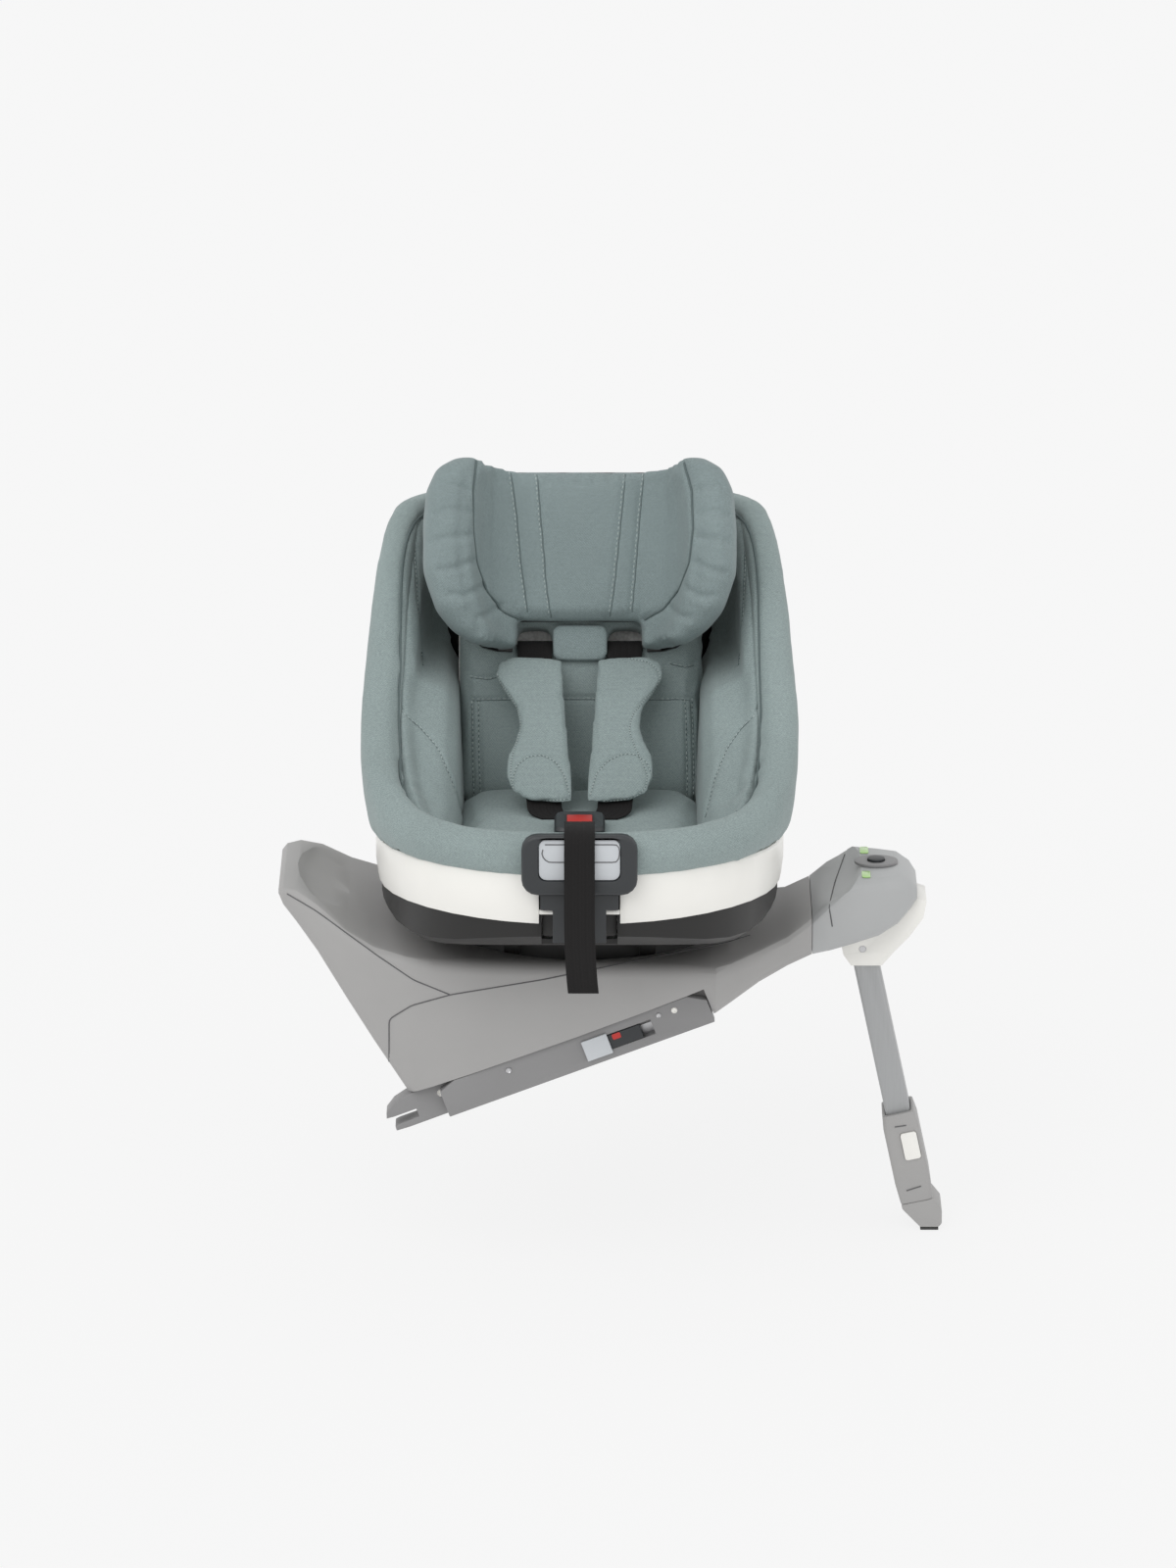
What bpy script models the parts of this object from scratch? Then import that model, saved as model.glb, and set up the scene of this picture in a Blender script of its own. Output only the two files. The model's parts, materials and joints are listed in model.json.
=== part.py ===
"""Swivelling child car seat on a fixed base with a folding support leg.

Frame: origin midway between the two anchor jaws, +X towards the support leg,
+Z up. The seat is shown turned to the door, so its front faces -Y.
"""

import math

import bmesh
import bpy
from mathutils import Matrix, Vector

# Gaps between touching pieces
FIT = 0.0003
SLIP = 0.0006

# Drawing modules, the outlines below are shares of them
BASE_MODULE = 0.1
SEAT_MODULE = 0.1
LEG_MODULE = 0.1
HEAD_MODULE = 0.1

# Seat position, rocker arc and back angle
SEAT_X = 0.170
ARC_CENTRE_Z = 0.770
ARC_RADIUS = 0.600
TRIM_TOP_RADIUS = 0.553
CORNER_LIFT = 0.030
CORNER_LIFT_REACH = 0.197
CORNER_POWER = 8
FRONT_DROP = 0.010
FRONT_DROP_START = 0.140
FRONT_DROP_END = 0.260
BAND_LIFT = 0.0075
BAND_SIDE_LIFT = 0.050
BAND_REACH = 0.200
BAND_POWER = 2.5
BACK_ANGLE = math.radians(25.0)
BACK_FOOT_Y = 0.075
BACK_FOOT_Z = 0.288

# Seat outlines in plan
OUTLINE_COUNT = 48
FRONT_POWER = 3.0
REAR_POWER = 6.0
LOWER_HALF_WIDTH = 0.205
LOWER_FRONT = 0.283
LOWER_REAR = 0.262
RIM_HALF_WIDTH = 0.214
RIM_FRONT = 0.286
RIM_REAR = 0.262
RIM_TAPER = 0.12
RIM_STATION_SHARES = (-3.0, -2.0, -1.2, -0.4, 0.4, 1.2, 2.0, 3.0)
RIM_HEIGHT_SHARES = (3.38, 3.43, 3.66, 4.03, 4.50, 5.02, 5.54, 5.57)

# Hard shell and the parts that wrap it
SHELL_WALL = 0.0045
SHELL_BELOW_RIM = 0.016
TRIM_THICK = 0.006
TRIM_GAP_HALF = 0.041
NOTCH_HALF = 0.0385
NOTCH_RISE = 0.028
NOTCH_DEEP = 0.0515
COVER_THICK = 0.008
COVER_ROLL = 0.024
COVER_SKIRT = 0.040
COVER_ROUND = 0.007
FOAM_TOP_Z = 0.248

# Cushions
CUSHION_HALF_WIDTH = 0.127
SEAT_PAD_FRONT = -0.238
SEAT_PAD_REAR = 0.062
SEAT_PAD_BOTTOM_Z = 0.2484
SEAT_PAD_THICK = 0.0372
BACK_PAD_LOW = -0.025
BACK_PAD_TOP = 0.300
BACK_PAD_THICK = 0.029
BOLSTER_INNER = 0.1285
BOLSTER_LEAN = 0.012
BOLSTER_CREST_MAX = 0.398
BOLSTER_SKIN = 0.005
BOLSTER_FRONT = -0.205
BOLSTER_REAR = 0.232
BOLSTER_STATIONS = 12
SLOT_INNER = 0.026
SLOT_OUTER = 0.068
SLOT_LOW = 0.136
SLOT_HIGH = 0.164

# Headrest
HEAD_CARRIER_HALF = 0.028
HEAD_ORIGIN = (0.170, 0.205, 0.570)
HEAD_SHELL_SHARES = (
    (1.10, 0.045),
    (1.48, 0.32),
    (1.588, 0.585),
    (1.588, 1.11),
    (1.541, 1.11),
    (1.541, 0.60),
    (1.44, 0.362),
    (1.07, 0.092),
)
WING_PAD_SHARES = (
    (0.68, 0.10),
    (0.68, 0.33),
    (0.80, 0.36),
    (0.95, 0.46),
    (1.09, 0.66),
    (1.17, 0.92),
    (1.21, 1.12),
    (1.30, 1.25),
    (1.50, 1.26),
    (1.61, 1.15),
    (1.65, 0.95),
    (1.65, 0.60),
    (1.595, 0.60),
    (1.595, 1.118),
    (1.534, 1.118),
    (1.534, 0.604),
    (1.430, 0.370),
    (1.076, 0.102),
)
HEAD_CARRIER_PLATE = 0.004
HEAD_LOW = 0.164
HEAD_TOP = 0.3275
WING_LOW = 0.137
WING_TOP = 0.327
WING_SWEEP_START = 0.0605
WING_ROOT = 0.068
WING_END_SHARES = (0.42, 0.66, 0.87, 1.0, 1.0, 0.90, 0.72, 0.45)
WING_SIDE_SHARES = (0.42, 0.62, 0.80, 0.93, 0.93, 0.90, 0.80, 0.62)
WING_LEVEL_SHARES = (0.0, 0.07, 0.18, 0.38, 0.62, 0.82, 0.94, 1.0)
HEAD_PAD_HALF = 0.066
HEAD_PAD_BACK = 0.0095
HEAD_PAD_THICK = 0.024
TAB_HALF = 0.026
TAB_LENGTH = 0.038
TAB_THICK = 0.008

# Harness
STRAP_WIDTH = 0.038
STRAP_THICK = 0.0016
STRAP_OFFSET = 0.047
STRAP_UP = 0.150
CHEST_TOP_UP = 0.132
CHEST_TOP_OUT = 0.014
CHEST_FOOT_SIDE = 0.036
CHEST_FOOT_Y = -0.066
CHEST_FOOT_Z = 0.2975
CHEST_PAD_THICK = 0.010
CHEST_PAD_SHARES = (
    (-0.28, 0.05),
    (0.22, 0.03),
    (0.385, 0.07),
    (0.43, 0.15),
    (0.355, 0.25),
    (0.25, 0.36),
    (0.23, 0.48),
    (0.29, 0.58),
    (0.37, 0.68),
    (0.385, 0.79),
    (0.32, 0.89),
    (0.17, 0.94),
    (-0.10, 0.955),
    (-0.30, 0.95),
    (-0.315, 0.82),
    (-0.31, 0.50),
    (-0.30, 0.25),
    (-0.29, 0.12),
)
LAP_STRAP_SHARES = ((0.62, 0.30, 0.018), (0.45, -0.10, 0.018), (0.29, -0.50, 0.036), (0.22, -0.67, 0.052))
CROTCH_STRAP_SHARES = ((0.0, -1.495, 2.945), (0.0, -1.65, 2.922), (0.0, -1.85, 2.895), (0.0, -1.93, 2.880))
PULL_STRAP_SHARES = (
    (0.0, -2.54, 3.34),
    (0.0, -2.58, 3.46),
    (0.0, -2.70, 3.53),
    (0.0, -3.00, 3.535),
    (0.0, -3.097, 3.468),
    (0.0, -3.125, 3.30),
    (0.0, -3.20, 2.95),
    (0.0, -3.31, 2.60),
    (0.01, -3.44, 2.30),
    (0.03, -3.54, 2.06),
    (0.04, -3.55, 1.975),
)
TONGUE_SIDE = 0.0205
TONGUE_HALF = 0.011
TONGUE_Y = -0.078
TONGUE_Z = 0.293
BUTTON_TRAVEL = 0.0025
BUCKLE_WIDTH = 0.052
BUCKLE_LENGTH = 0.062
BUCKLE_HEIGHT = 0.020
BUCKLE_Y = -0.118
BUCKLE_Z = 0.297
PULL_STRAP_WIDTH = 0.032

# Front adjuster and recline lever
BEZEL_FRONT_Y = -0.3075
BEZEL_DEPTH = 0.0125
BEZEL_HALF = 0.0585
BEZEL_LOW_Z = 0.285
BEZEL_HIGH_Z = 0.348
BEZEL_ROUND = 0.016
LEVER_LOW_Z = 0.232
LEVER_DEPTH = 0.0098
LEVER_PIN_RADIUS = 0.0025
PANEL_HALF = 0.041
PANEL_LOW_Z = 0.301
PANEL_HIGH_Z = 0.344
LEVER_AXIS_Y = -0.2878
LEVER_AXIS_Z = 0.262
LEVER_BAR_HALF = 0.040
LEVER_BLOCK_HALF = 0.027
PIN_RADIUS = 0.0035

# Base
SLOPE = math.radians(20.75)
UNDERSIDE_DROP = 0.0118
CHANNEL_INNER = 0.1275
CHANNEL_HEIGHT = 0.036
FRAME_LOW = 0.0056
FRAME_HEIGHT = 0.014
FRAME_TRAVEL = 0.080
ARM_CENTRE_Y = 0.140
ARM_WIDTH = 0.024
ARM_START = 0.046
ARM_END = 0.300
TRIM_INNER_Y = 0.1526
TRIM_OUTER_Y = 0.1665
TRIM_START = 0.034
TRIM_END = 0.326
UNDERPAN_THICK = 0.004
UNDERPAN_END = 0.335
BASE_ROUND = 0.013
SLIDER_START = 0.193
SLIDER_END = 0.252
SLIDER_LOW = 0.0105
SLIDER_HIGH = 0.0255
SLIDER_TRAVEL = 0.012
THUMB_OVERLAP = 0.0035
THUMB_LENGTH = 0.024
THUMB_THICK = 0.003
PAD_THICK = 0.0025
PAD_FIRST = 0.060
PAD_SECOND = 0.240
PAD_LENGTH = 0.050
PAD_REACH = 0.110
JAW_SHARES = (
    (-0.290, 0.170),
    (-0.270, 0.228),
    (-0.160, 0.300),
    (0.0, 0.340),
    (0.455, 0.356),
    (0.455, 0.006),
    (-0.100, 0.004),
    (-0.240, 0.012),
    (-0.235, 0.066),
    (-0.180, 0.073),
    (0.035, 0.073),
    (0.035, 0.163),
    (-0.210, 0.163),
)
HOUSING_SHARES = (
    (-1.41, 2.12, 2.17, 0.70),
    (-1.36, 2.02, 2.22, 0.82),
    (-1.22, 1.86, 2.23, 0.94),
    (-1.00, 1.60, 2.13, 1.12),
    (-0.70, 1.16, 1.92, 1.32),
    (-0.42, 0.75, 1.79, 1.46),
    (-0.08, 0.26, 1.72, 1.58),
    (0.20, None, 1.69, 1.64),
    (0.60, None, 1.68, 1.68),
    (1.20, None, 1.67, 1.70),
    (1.70, None, 1.66, 1.71),
    (2.30, None, 1.66, 1.70),
    (2.80, None, 1.64, 1.67),
    (3.10, None, 1.61, 1.62),
    (3.25, None, 1.60, 1.46),
    (3.55, None, 1.63, 1.12),
    (3.85, None, 1.72, 0.92),
    (4.10, 1.46, 1.88, 0.80),
)
NOSE_SHARES = (
    (4.106, 1.46, 1.885, 0.797),
    (4.30, 1.49, 2.06, 0.76),
    (4.50, 1.534, 2.235, 0.71),
    (4.80, 1.605, 2.235, 0.62),
    (5.00, 1.71, 2.235, 0.53),
    (5.13, 1.84, 2.17, 0.43),
    (5.20, 1.94, 2.06, 0.34),
)
DISH_SHARES = (
    (1.42, 0.0),
    (1.50, 0.42),
    (1.70, 0.49),
    (1.85, 0.53),
    (2.00, 0.58),
    (2.20, 0.65),
    (2.40, 0.66),
    (2.60, 0.73),
    (2.80, 0.84),
    (2.88, 0.90),
    (2.96, 1.02),
    (3.10, 1.24),
    (3.30, 1.74),
    (3.30, 3.00),
)
NOSE_TOP_Z = 0.2235
NOSE_BUTTON_X = 0.478
NOSE_BUTTON_RADIUS = 0.009
NOSE_PANEL_HALF = 0.019
PANEL_PLATE = 0.003
WINDOW_X = 0.4665
WINDOW_Y = 0.042
WINDOW_HALF = 0.0045
WINDOW_LENGTH = 0.022
TURN_TOP_Z = 0.1257
RING_RADIUS = 0.132
RING_INNER = 0.104
RING_HEIGHT = 0.006
CARRIER_RADIUS = 0.128
CARRIER_DISC = 0.008
RAIL_CENTRE_X = 0.070
RAIL_WIDTH = 0.016
RAIL_REACH = 0.112
RAIL_STATIONS = 9
HUB_RADIUS = 0.040

# Support leg
LEG_AXIS_X = 0.464
LEG_AXIS_Z = 0.138
LEG_LEAN = math.radians(12.0)
BRACKET_HALF = 0.027
BRACKET_SHARES = (
    (4.40, 1.508),
    (4.55, 1.541),
    (4.80, 1.600),
    (5.00, 1.704),
    (5.13, 1.834),
    (5.20, 1.935),
    (5.30, 1.90),
    (5.27, 1.72),
    (5.13, 1.52),
    (4.96, 1.34),
    (4.84, 1.20),
    (4.52, 1.20),
    (4.44, 1.32),
)
SWING_SHARES = (
    (0.0, 0.30),
    (0.0, 0.187),
    (0.094, 0.162),
    (0.162, 0.094),
    (0.187, 0.0),
    (0.162, -0.094),
    (0.30, -0.30),
    (-0.50, -0.30),
    (-0.50, 0.30),
)
HOUSING_ROW_SHARES = (
    (1.86, 0.165, 0.262),
    (2.00, 0.185, 0.275),
    (2.62, 0.185, 0.275),
    (2.845, 0.170, 0.268),
)
HOUSING_FACE_Y = -0.0275
FOOT_HALF = 0.0165
FOOT_SHARES = ((5.495, -1.50), (5.495, -1.65), (5.46, -1.687), (5.27, -1.687), (5.08, -1.49))
KEY_HALF_X = 0.0085
KEY_HALF_Z = 0.015
KEY_DOWN = 0.222
KEY_ACROSS = 0.006
KEY_DEPTH = 0.0035
TUBE_HALF_X = 0.013
TUBE_HALF_Y = 0.020
TUBE_WALL = 0.0018
TUBE_TOP = 0.008
TUBE_END = 0.268
INNER_TUBE_START = 0.034
CAVITY_END = 0.2725
HOUSING_TOP = 0.186
HOUSING_END = 0.2845
SOLE_THICK = 0.003
FLOOR_Z = -0.172


def clear_scene():
    """Remove whatever the new scene holds."""
    for item in list(bpy.data.objects):
        bpy.data.objects.remove(item, do_unlink=True)


def material(name, colour, roughness, metallic=0.0):
    """Make one Principled material."""
    made = bpy.data.materials.new(name)
    made.use_nodes = True
    shader = made.node_tree.nodes["Principled BSDF"]
    shader.inputs["Base Color"].default_value = (*colour, 1.0)
    shader.inputs["Roughness"].default_value = roughness
    shader.inputs["Metallic"].default_value = metallic
    return made


def finish(name, mesh, finish_material, smooth=True, origin=(0.0, 0.0, 0.0)):
    """Turn a bmesh into a named object with its origin at the given point."""
    bmesh.ops.recalc_face_normals(mesh, faces=mesh.faces)
    data = bpy.data.meshes.new(name)
    mesh.to_mesh(data)
    mesh.free()
    shift = Vector(origin)
    data.transform(Matrix.Translation(-shift))
    made = bpy.data.objects.new(name, data)
    made.location = shift
    bpy.context.scene.collection.objects.link(made)
    data.materials.append(finish_material)
    if smooth:
        data.shade_smooth()
        data.set_sharp_from_angle(angle=math.radians(35.0))
    return made


def skin_mesh(loops, ring=False, mesh=None):
    """Join equal loops of points with quads, capped unless they form a ring."""
    mesh = mesh or bmesh.new()
    rows = [[mesh.verts.new(point) for point in loop] for loop in loops]
    count = len(rows[0])
    pairs = list(zip(rows, rows[1:]))
    if ring:
        pairs.append((rows[-1], rows[0]))
    for first, second in pairs:
        for step in range(count):
            after = (step + 1) % count
            mesh.faces.new((first[step], first[after], second[after], second[step]))
    if len(rows) > 2:
        bmesh.ops.triangulate(mesh, faces=list(mesh.faces), quad_method="SHORT_EDGE")
    if not ring:
        mesh.faces.new(rows[0])
        mesh.faces.new(rows[-1])
    return mesh


def skin(name, loops, finish_material, ring=False, smooth=True, origin=(0.0, 0.0, 0.0)):
    """Make an object from loops of points."""
    return finish(name, skin_mesh(loops, ring), finish_material, smooth, origin)


def side_prism(outline, low_y, high_y):
    """Loops of an outline in X and Z carried across Y."""
    return [[(x, y, z) for x, z in outline] for y in (low_y, high_y)]


def across_prism(outline, half):
    """Loops of an outline in Y and Z carried across the seat."""
    return [[(SEAT_X + x, y, z) for y, z in outline] for x in (-half, half)]


def rounded_box(half_a, low_b, high_b, radius, steps=3):
    """Outline of a rectangle with rounded corners."""
    points = []
    corners = (
        (half_a - radius, high_b - radius, 0.0),
        (-half_a + radius, high_b - radius, 90.0),
        (-half_a + radius, low_b + radius, 180.0),
        (half_a - radius, low_b + radius, 270.0),
    )
    for centre_a, centre_b, start in corners:
        for step in range(steps + 1):
            angle = math.radians(start + 90.0 * step / steps)
            points.append((centre_a + radius * math.cos(angle), centre_b + radius * math.sin(angle)))
    return points


def rod_mesh(start, end, radius, segments=20, mesh=None, bore=0.0):
    """A round rod or tube between two points."""
    first = Vector(start)
    last = Vector(end)
    axis = (last - first).normalized()
    side = axis.orthogonal().normalized()
    other = axis.cross(side)

    def circle(centre, size):
        turns = [2.0 * math.pi * step / segments for step in range(segments)]
        return [centre + side * (size * math.cos(turn)) + other * (size * math.sin(turn)) for turn in turns]

    loops = [circle(first, radius), circle(last, radius)]
    if bore:
        loops += [circle(last, bore), circle(first, bore)]
        return skin_mesh(loops, True, mesh)
    return skin_mesh(loops, False, mesh)


def band_mesh(path, width, thick, mesh=None):
    """A flat strap along a path of points and across directions."""
    mesh = mesh or bmesh.new()
    centres = [Vector(point) for point, _ in path]
    loops = []
    for index, (_, across) in enumerate(path):
        before = centres[max(index - 1, 0)]
        after = centres[min(index + 1, len(centres) - 1)]
        side = Vector(across).normalized()
        lift = (after - before).cross(side).normalized() * (thick / 2)
        edge = side * (width / 2)
        here = centres[index]
        loops.append([here - edge - lift, here + edge - lift, here + edge + lift, here - edge + lift])
    return skin_mesh(loops, False, mesh)


def cut(target, cutter_loops, name, operation="DIFFERENCE"):
    """Cut a solid of loops out of an object, or join it on."""
    tool = skin(name, cutter_loops, target.data.materials[0], smooth=False)
    tool.hide_render = True
    tool.display_type = "WIRE"
    step = target.modifiers.new(name, "BOOLEAN")
    step.operation = operation
    step.solver = "EXACT"
    step.object = tool
    return tool


def slope_point(along, above):
    """X and Z of a point given along and above the sloping underside."""
    rise = above - UNDERSIDE_DROP
    x = along * math.cos(SLOPE) - rise * math.sin(SLOPE)
    z = along * math.sin(SLOPE) + rise * math.cos(SLOPE)
    return (x, z)


def slope_outline(points):
    """Outline in X and Z from points along and above the underside."""
    return [slope_point(along, above) for along, above in points]


def leg_point(across, down):
    """X and Z of a point given across and down the support leg."""
    x = LEG_AXIS_X + across * math.cos(LEG_LEAN) + down * math.sin(LEG_LEAN)
    z = LEG_AXIS_Z + across * math.sin(LEG_LEAN) - down * math.cos(LEG_LEAN)
    return (x, z)


def back_point(side, up, out):
    """A point given sideways, up the backrest and out of its face."""
    y = BACK_FOOT_Y + up * math.sin(BACK_ANGLE) - out * math.cos(BACK_ANGLE)
    z = BACK_FOOT_Z + up * math.cos(BACK_ANGLE) + out * math.sin(BACK_ANGLE)
    return (SEAT_X + side, y, z)


def arc_z(y, radius):
    """Height of the rocker arc of one radius."""
    return ARC_CENTRE_Z - math.sqrt(radius * radius - y * y)


def corner_lift(side):
    """How far the rocker surface rises towards the sides."""
    return CORNER_LIFT * (abs(side) / CORNER_LIFT_REACH) ** CORNER_POWER


def band_lift(side):
    """How far the edges of the trim rise above the rocker arcs."""
    return BAND_LIFT + BAND_SIDE_LIFT * (abs(side) / BAND_REACH) ** BAND_POWER


def rim_z(y):
    """Height of the seat rim along the seat."""
    stations = [share * SEAT_MODULE for share in RIM_STATION_SHARES]
    heights = [share * SEAT_MODULE for share in RIM_HEIGHT_SHARES]
    for index in range(len(stations) - 1):
        if y <= stations[index + 1]:
            part = (y - stations[index]) / (stations[index + 1] - stations[index])
            return heights[index] + (heights[index + 1] - heights[index]) * part
    return heights[-1]


def plan_point(turn, half_width, front, rear, taper):
    """A point of a seat outline in plan."""
    cosine = math.cos(turn)
    sine = math.sin(turn)
    power = FRONT_POWER if sine < 0.0 else REAR_POWER
    reach = front if sine < 0.0 else rear
    y = math.copysign(abs(sine) ** (2.0 / power), sine) * reach
    narrow = 1.0 - taper * max(0.0, y / rear)
    side = math.copysign(abs(cosine) ** (2.0 / power), cosine) * half_width * narrow
    return Vector((side, y))


def turns(count=OUTLINE_COUNT):
    """Turn angles of the outline points, closer at the corners."""
    result = []
    for index in range(count):
        turn = 2.0 * math.pi * (index + 0.5) / count
        result.append(turn - 0.11 * math.sin(4.0 * turn))
    return result


def lower_outline():
    """Outline of the shell where the trim sits."""
    return [plan_point(turn, LOWER_HALF_WIDTH, LOWER_FRONT, LOWER_REAR, 0.0) for turn in turns()]


def rim_outline():
    """Outline of the shell at the rim."""
    return [plan_point(turn, RIM_HALF_WIDTH, RIM_FRONT, RIM_REAR, RIM_TAPER) for turn in turns()]


def outward(outline):
    """Outward direction at each point of a plan outline."""
    result = []
    count = len(outline)
    for index in range(count):
        along = outline[(index + 1) % count] - outline[index - 1]
        result.append(Vector((along.y, -along.x)).normalized())
    return result


def roll_at(y):
    """How far the rolled rim reaches inwards along the seat."""
    return COVER_ROLL * (1.0 - 0.25 * max(0.0, y / LOWER_REAR))


def floor_z(point):
    """Height of the tub's floor, lower in front of the rocker rails."""
    share = (-point.y - FRONT_DROP_START) / (FRONT_DROP_END - FRONT_DROP_START)
    drop = FRONT_DROP * min(1.0, max(0.0, share))
    return arc_z(point.y, ARC_RADIUS) + corner_lift(point.x) - drop


def trim_low(point):
    """Lower edge height of the trim at a plan point."""
    return arc_z(point.y, ARC_RADIUS) + band_lift(point.x)


def trim_high(point):
    """Upper edge height of the trim at a plan point."""
    return arc_z(point.y, TRIM_TOP_RADIUS) + band_lift(point.x)


def wall_point(low, high, away, offset, z):
    """A point of the seat wall at one height, offset outwards."""
    bottom = trim_high(low)
    top = rim_z(high.y)
    part = min(1.0, max(0.0, (z - bottom) / (top - bottom)))
    base = low.lerp(high, part) + away * offset
    return (SEAT_X + base.x, base.y, z)


def wall_stations():
    """Lower point, rim point and outward direction around the seat."""
    low = lower_outline()
    high = rim_outline()
    return list(zip(low, high, outward(high)))


def floor_loop(share, raise_by):
    """A loop of the rocker floor at a share of the outline."""
    points = []
    for low in lower_outline():
        spot = low * share
        points.append((SEAT_X + spot.x, spot.y, floor_z(spot) + raise_by))
    return points


def seat_shell(finish_material):
    """The hard tub with its rocker floor and the notch for the lever."""
    stations = wall_stations()

    def wall_loop(offset, level):
        points = []
        for low, high, away in stations:
            heights = (floor_z(low), trim_high(low), rim_z(high.y) - SHELL_BELOW_RIM)
            index = min(int(level), 1)
            z = heights[index] + (heights[index + 1] - heights[index]) * (level - index)
            points.append(wall_point(low, high, away, offset, z))
        return points

    loops = [floor_loop(share, 0.0) for share in (0.06, 0.3, 0.6, 0.8, 0.92)]
    loops += [wall_loop(0.0, level) for level in (0.05, 1.0, 2.0)]
    loops += [wall_loop(-SHELL_WALL, level) for level in (2.0, 1.0, 0.15)]
    loops += [floor_loop(share, SHELL_WALL) for share in (0.9, 0.78, 0.58, 0.3, 0.06)]
    made = skin("seat_shell", loops, finish_material)
    notch_top = LEVER_AXIS_Z + NOTCH_RISE
    notch = rounded_box(NOTCH_HALF, ARC_CENTRE_Z - ARC_RADIUS, notch_top, COVER_ROUND)
    tool = [[(SEAT_X + x, y, z) for x, z in notch] for y in (BEZEL_FRONT_Y, BEZEL_FRONT_Y + NOTCH_DEEP)]
    cut(made, tool, "notch_cutter")
    return made


def trim_band(finish_material):
    """The white band round the shell, open at the front."""
    stations = wall_stations()
    count = len(stations)
    start = 3 * count // 4
    order = [stations[(start + step) % count] for step in range(count)]
    path = [item for item in order if item[0].y > 0.0 or abs(item[0].x) > TRIM_GAP_HALF]
    first = order[0]

    def end_station(side):
        share = 1.0 - (TRIM_GAP_HALF / LOWER_HALF_WIDTH) ** FRONT_POWER
        spot = Vector((side * TRIM_GAP_HALF, -LOWER_FRONT * share ** (1.0 / FRONT_POWER)))
        rise = Vector((side * TRIM_GAP_HALF, -RIM_FRONT * share ** (1.0 / FRONT_POWER)))
        return (spot, rise, Vector((0.0, first[2].y)).normalized())

    path = [end_station(1.0)] + path + [end_station(-1.0)]
    loops = []
    for low, high, away in path:
        bottom = trim_low(low)
        top = trim_high(low)
        tall = top - bottom
        profile = (
            (SLIP, bottom + 0.03 * tall),
            (0.6 * TRIM_THICK, bottom),
            (TRIM_THICK, bottom + 0.4 * tall),
            (TRIM_THICK, bottom + 0.93 * tall),
            (0.7 * TRIM_THICK, top - SLIP),
            (SLIP, top - SLIP),
        )
        loops.append([wall_point(low, high, away, offset, z) for offset, z in profile])
    return skin("trim_band", loops, finish_material)


def rim_cover(finish_material):
    """The padded fabric rim that wraps the top of the shell."""
    loops = []
    for low, high, away in wall_stations():
        bottom = trim_high(low) + SLIP
        top = rim_z(high.y)
        tall = top - bottom
        roll = roll_at(high.y)
        outside = 1.5 * SLIP
        inside = SHELL_WALL + outside
        profile = (
            (outside, bottom),
            (COVER_THICK, bottom),
            (1.25 * COVER_THICK, bottom + 0.35 * tall),
            (1.25 * COVER_THICK, bottom + 0.7 * tall),
            (COVER_THICK, top - 1.4 * COVER_ROUND),
            (0.5 * COVER_THICK, top - 0.4 * COVER_ROUND),
            (-0.1 * roll, top),
            (-0.75 * roll, top - 0.1 * COVER_ROUND),
            (-roll, top - 1.3 * COVER_ROUND),
            (-roll, top - COVER_SKIRT),
            (-inside, top - COVER_SKIRT),
            (-inside, top - SHELL_BELOW_RIM + SLIP),
            (outside, top - SHELL_BELOW_RIM + SLIP),
        )
        loops.append([wall_point(low, high, away, offset, z) for offset, z in profile])
    return skin("rim_cover", loops, finish_material, ring=True)


def foam_liner(finish_material):
    """The foam block that fills the floor of the shell."""
    def flat_loop(share):
        return [(x, y, FOAM_TOP_Z) for x, y, _ in floor_loop(share, 0.0)]

    loops = [flat_loop(share) for share in (0.3, 0.58, 0.78)]
    loops += [floor_loop(share, SHELL_WALL + 1.5 * SLIP) for share in (0.78, 0.58, 0.3, 0.06)]
    return skin("foam_liner", loops, finish_material)


def back_foam(finish_material):
    """The foam wedge between the shell's back wall and the backrest."""
    behind = -(BACK_PAD_THICK + SLIP)
    low_up = (FOAM_TOP_Z + SLIP - BACK_FOOT_Z - behind * math.sin(BACK_ANGLE)) / math.cos(BACK_ANGLE)
    high_z = rim_z(RIM_REAR) - 1.15 * COVER_SKIRT
    high_up = (high_z - BACK_FOOT_Z - behind * math.sin(BACK_ANGLE)) / math.cos(BACK_ANGLE)
    wall_y = LOWER_REAR - 2.6 * SHELL_WALL
    _, low_y, low_z = back_point(0.0, low_up, behind)
    _, high_y, _ = back_point(0.0, high_up, behind)
    outline = [
        (low_y, low_z),
        (wall_y - COVER_SKIRT / 2, low_z),
        (wall_y, low_z + COVER_SKIRT / 2),
        (wall_y, high_z),
        (high_y, high_z),
    ]
    made = skin("back_foam", across_prism(outline, CUSHION_HALF_WIDTH), finish_material, smooth=False)
    half = HEAD_CARRIER_HALF + SLIP
    deep = behind - HEAD_CARRIER_PLATE - SLIP
    corners = ((-half, WING_LOW / 3 - SLIP), (half, WING_LOW / 3 - SLIP), (half, HEAD_TOP), (-half, HEAD_TOP))
    groove = [[back_point(side, up, out) for side, up in corners] for out in (deep, 0.0)]
    cut(made, groove, "carrier_groove_cutter")
    return made


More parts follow.
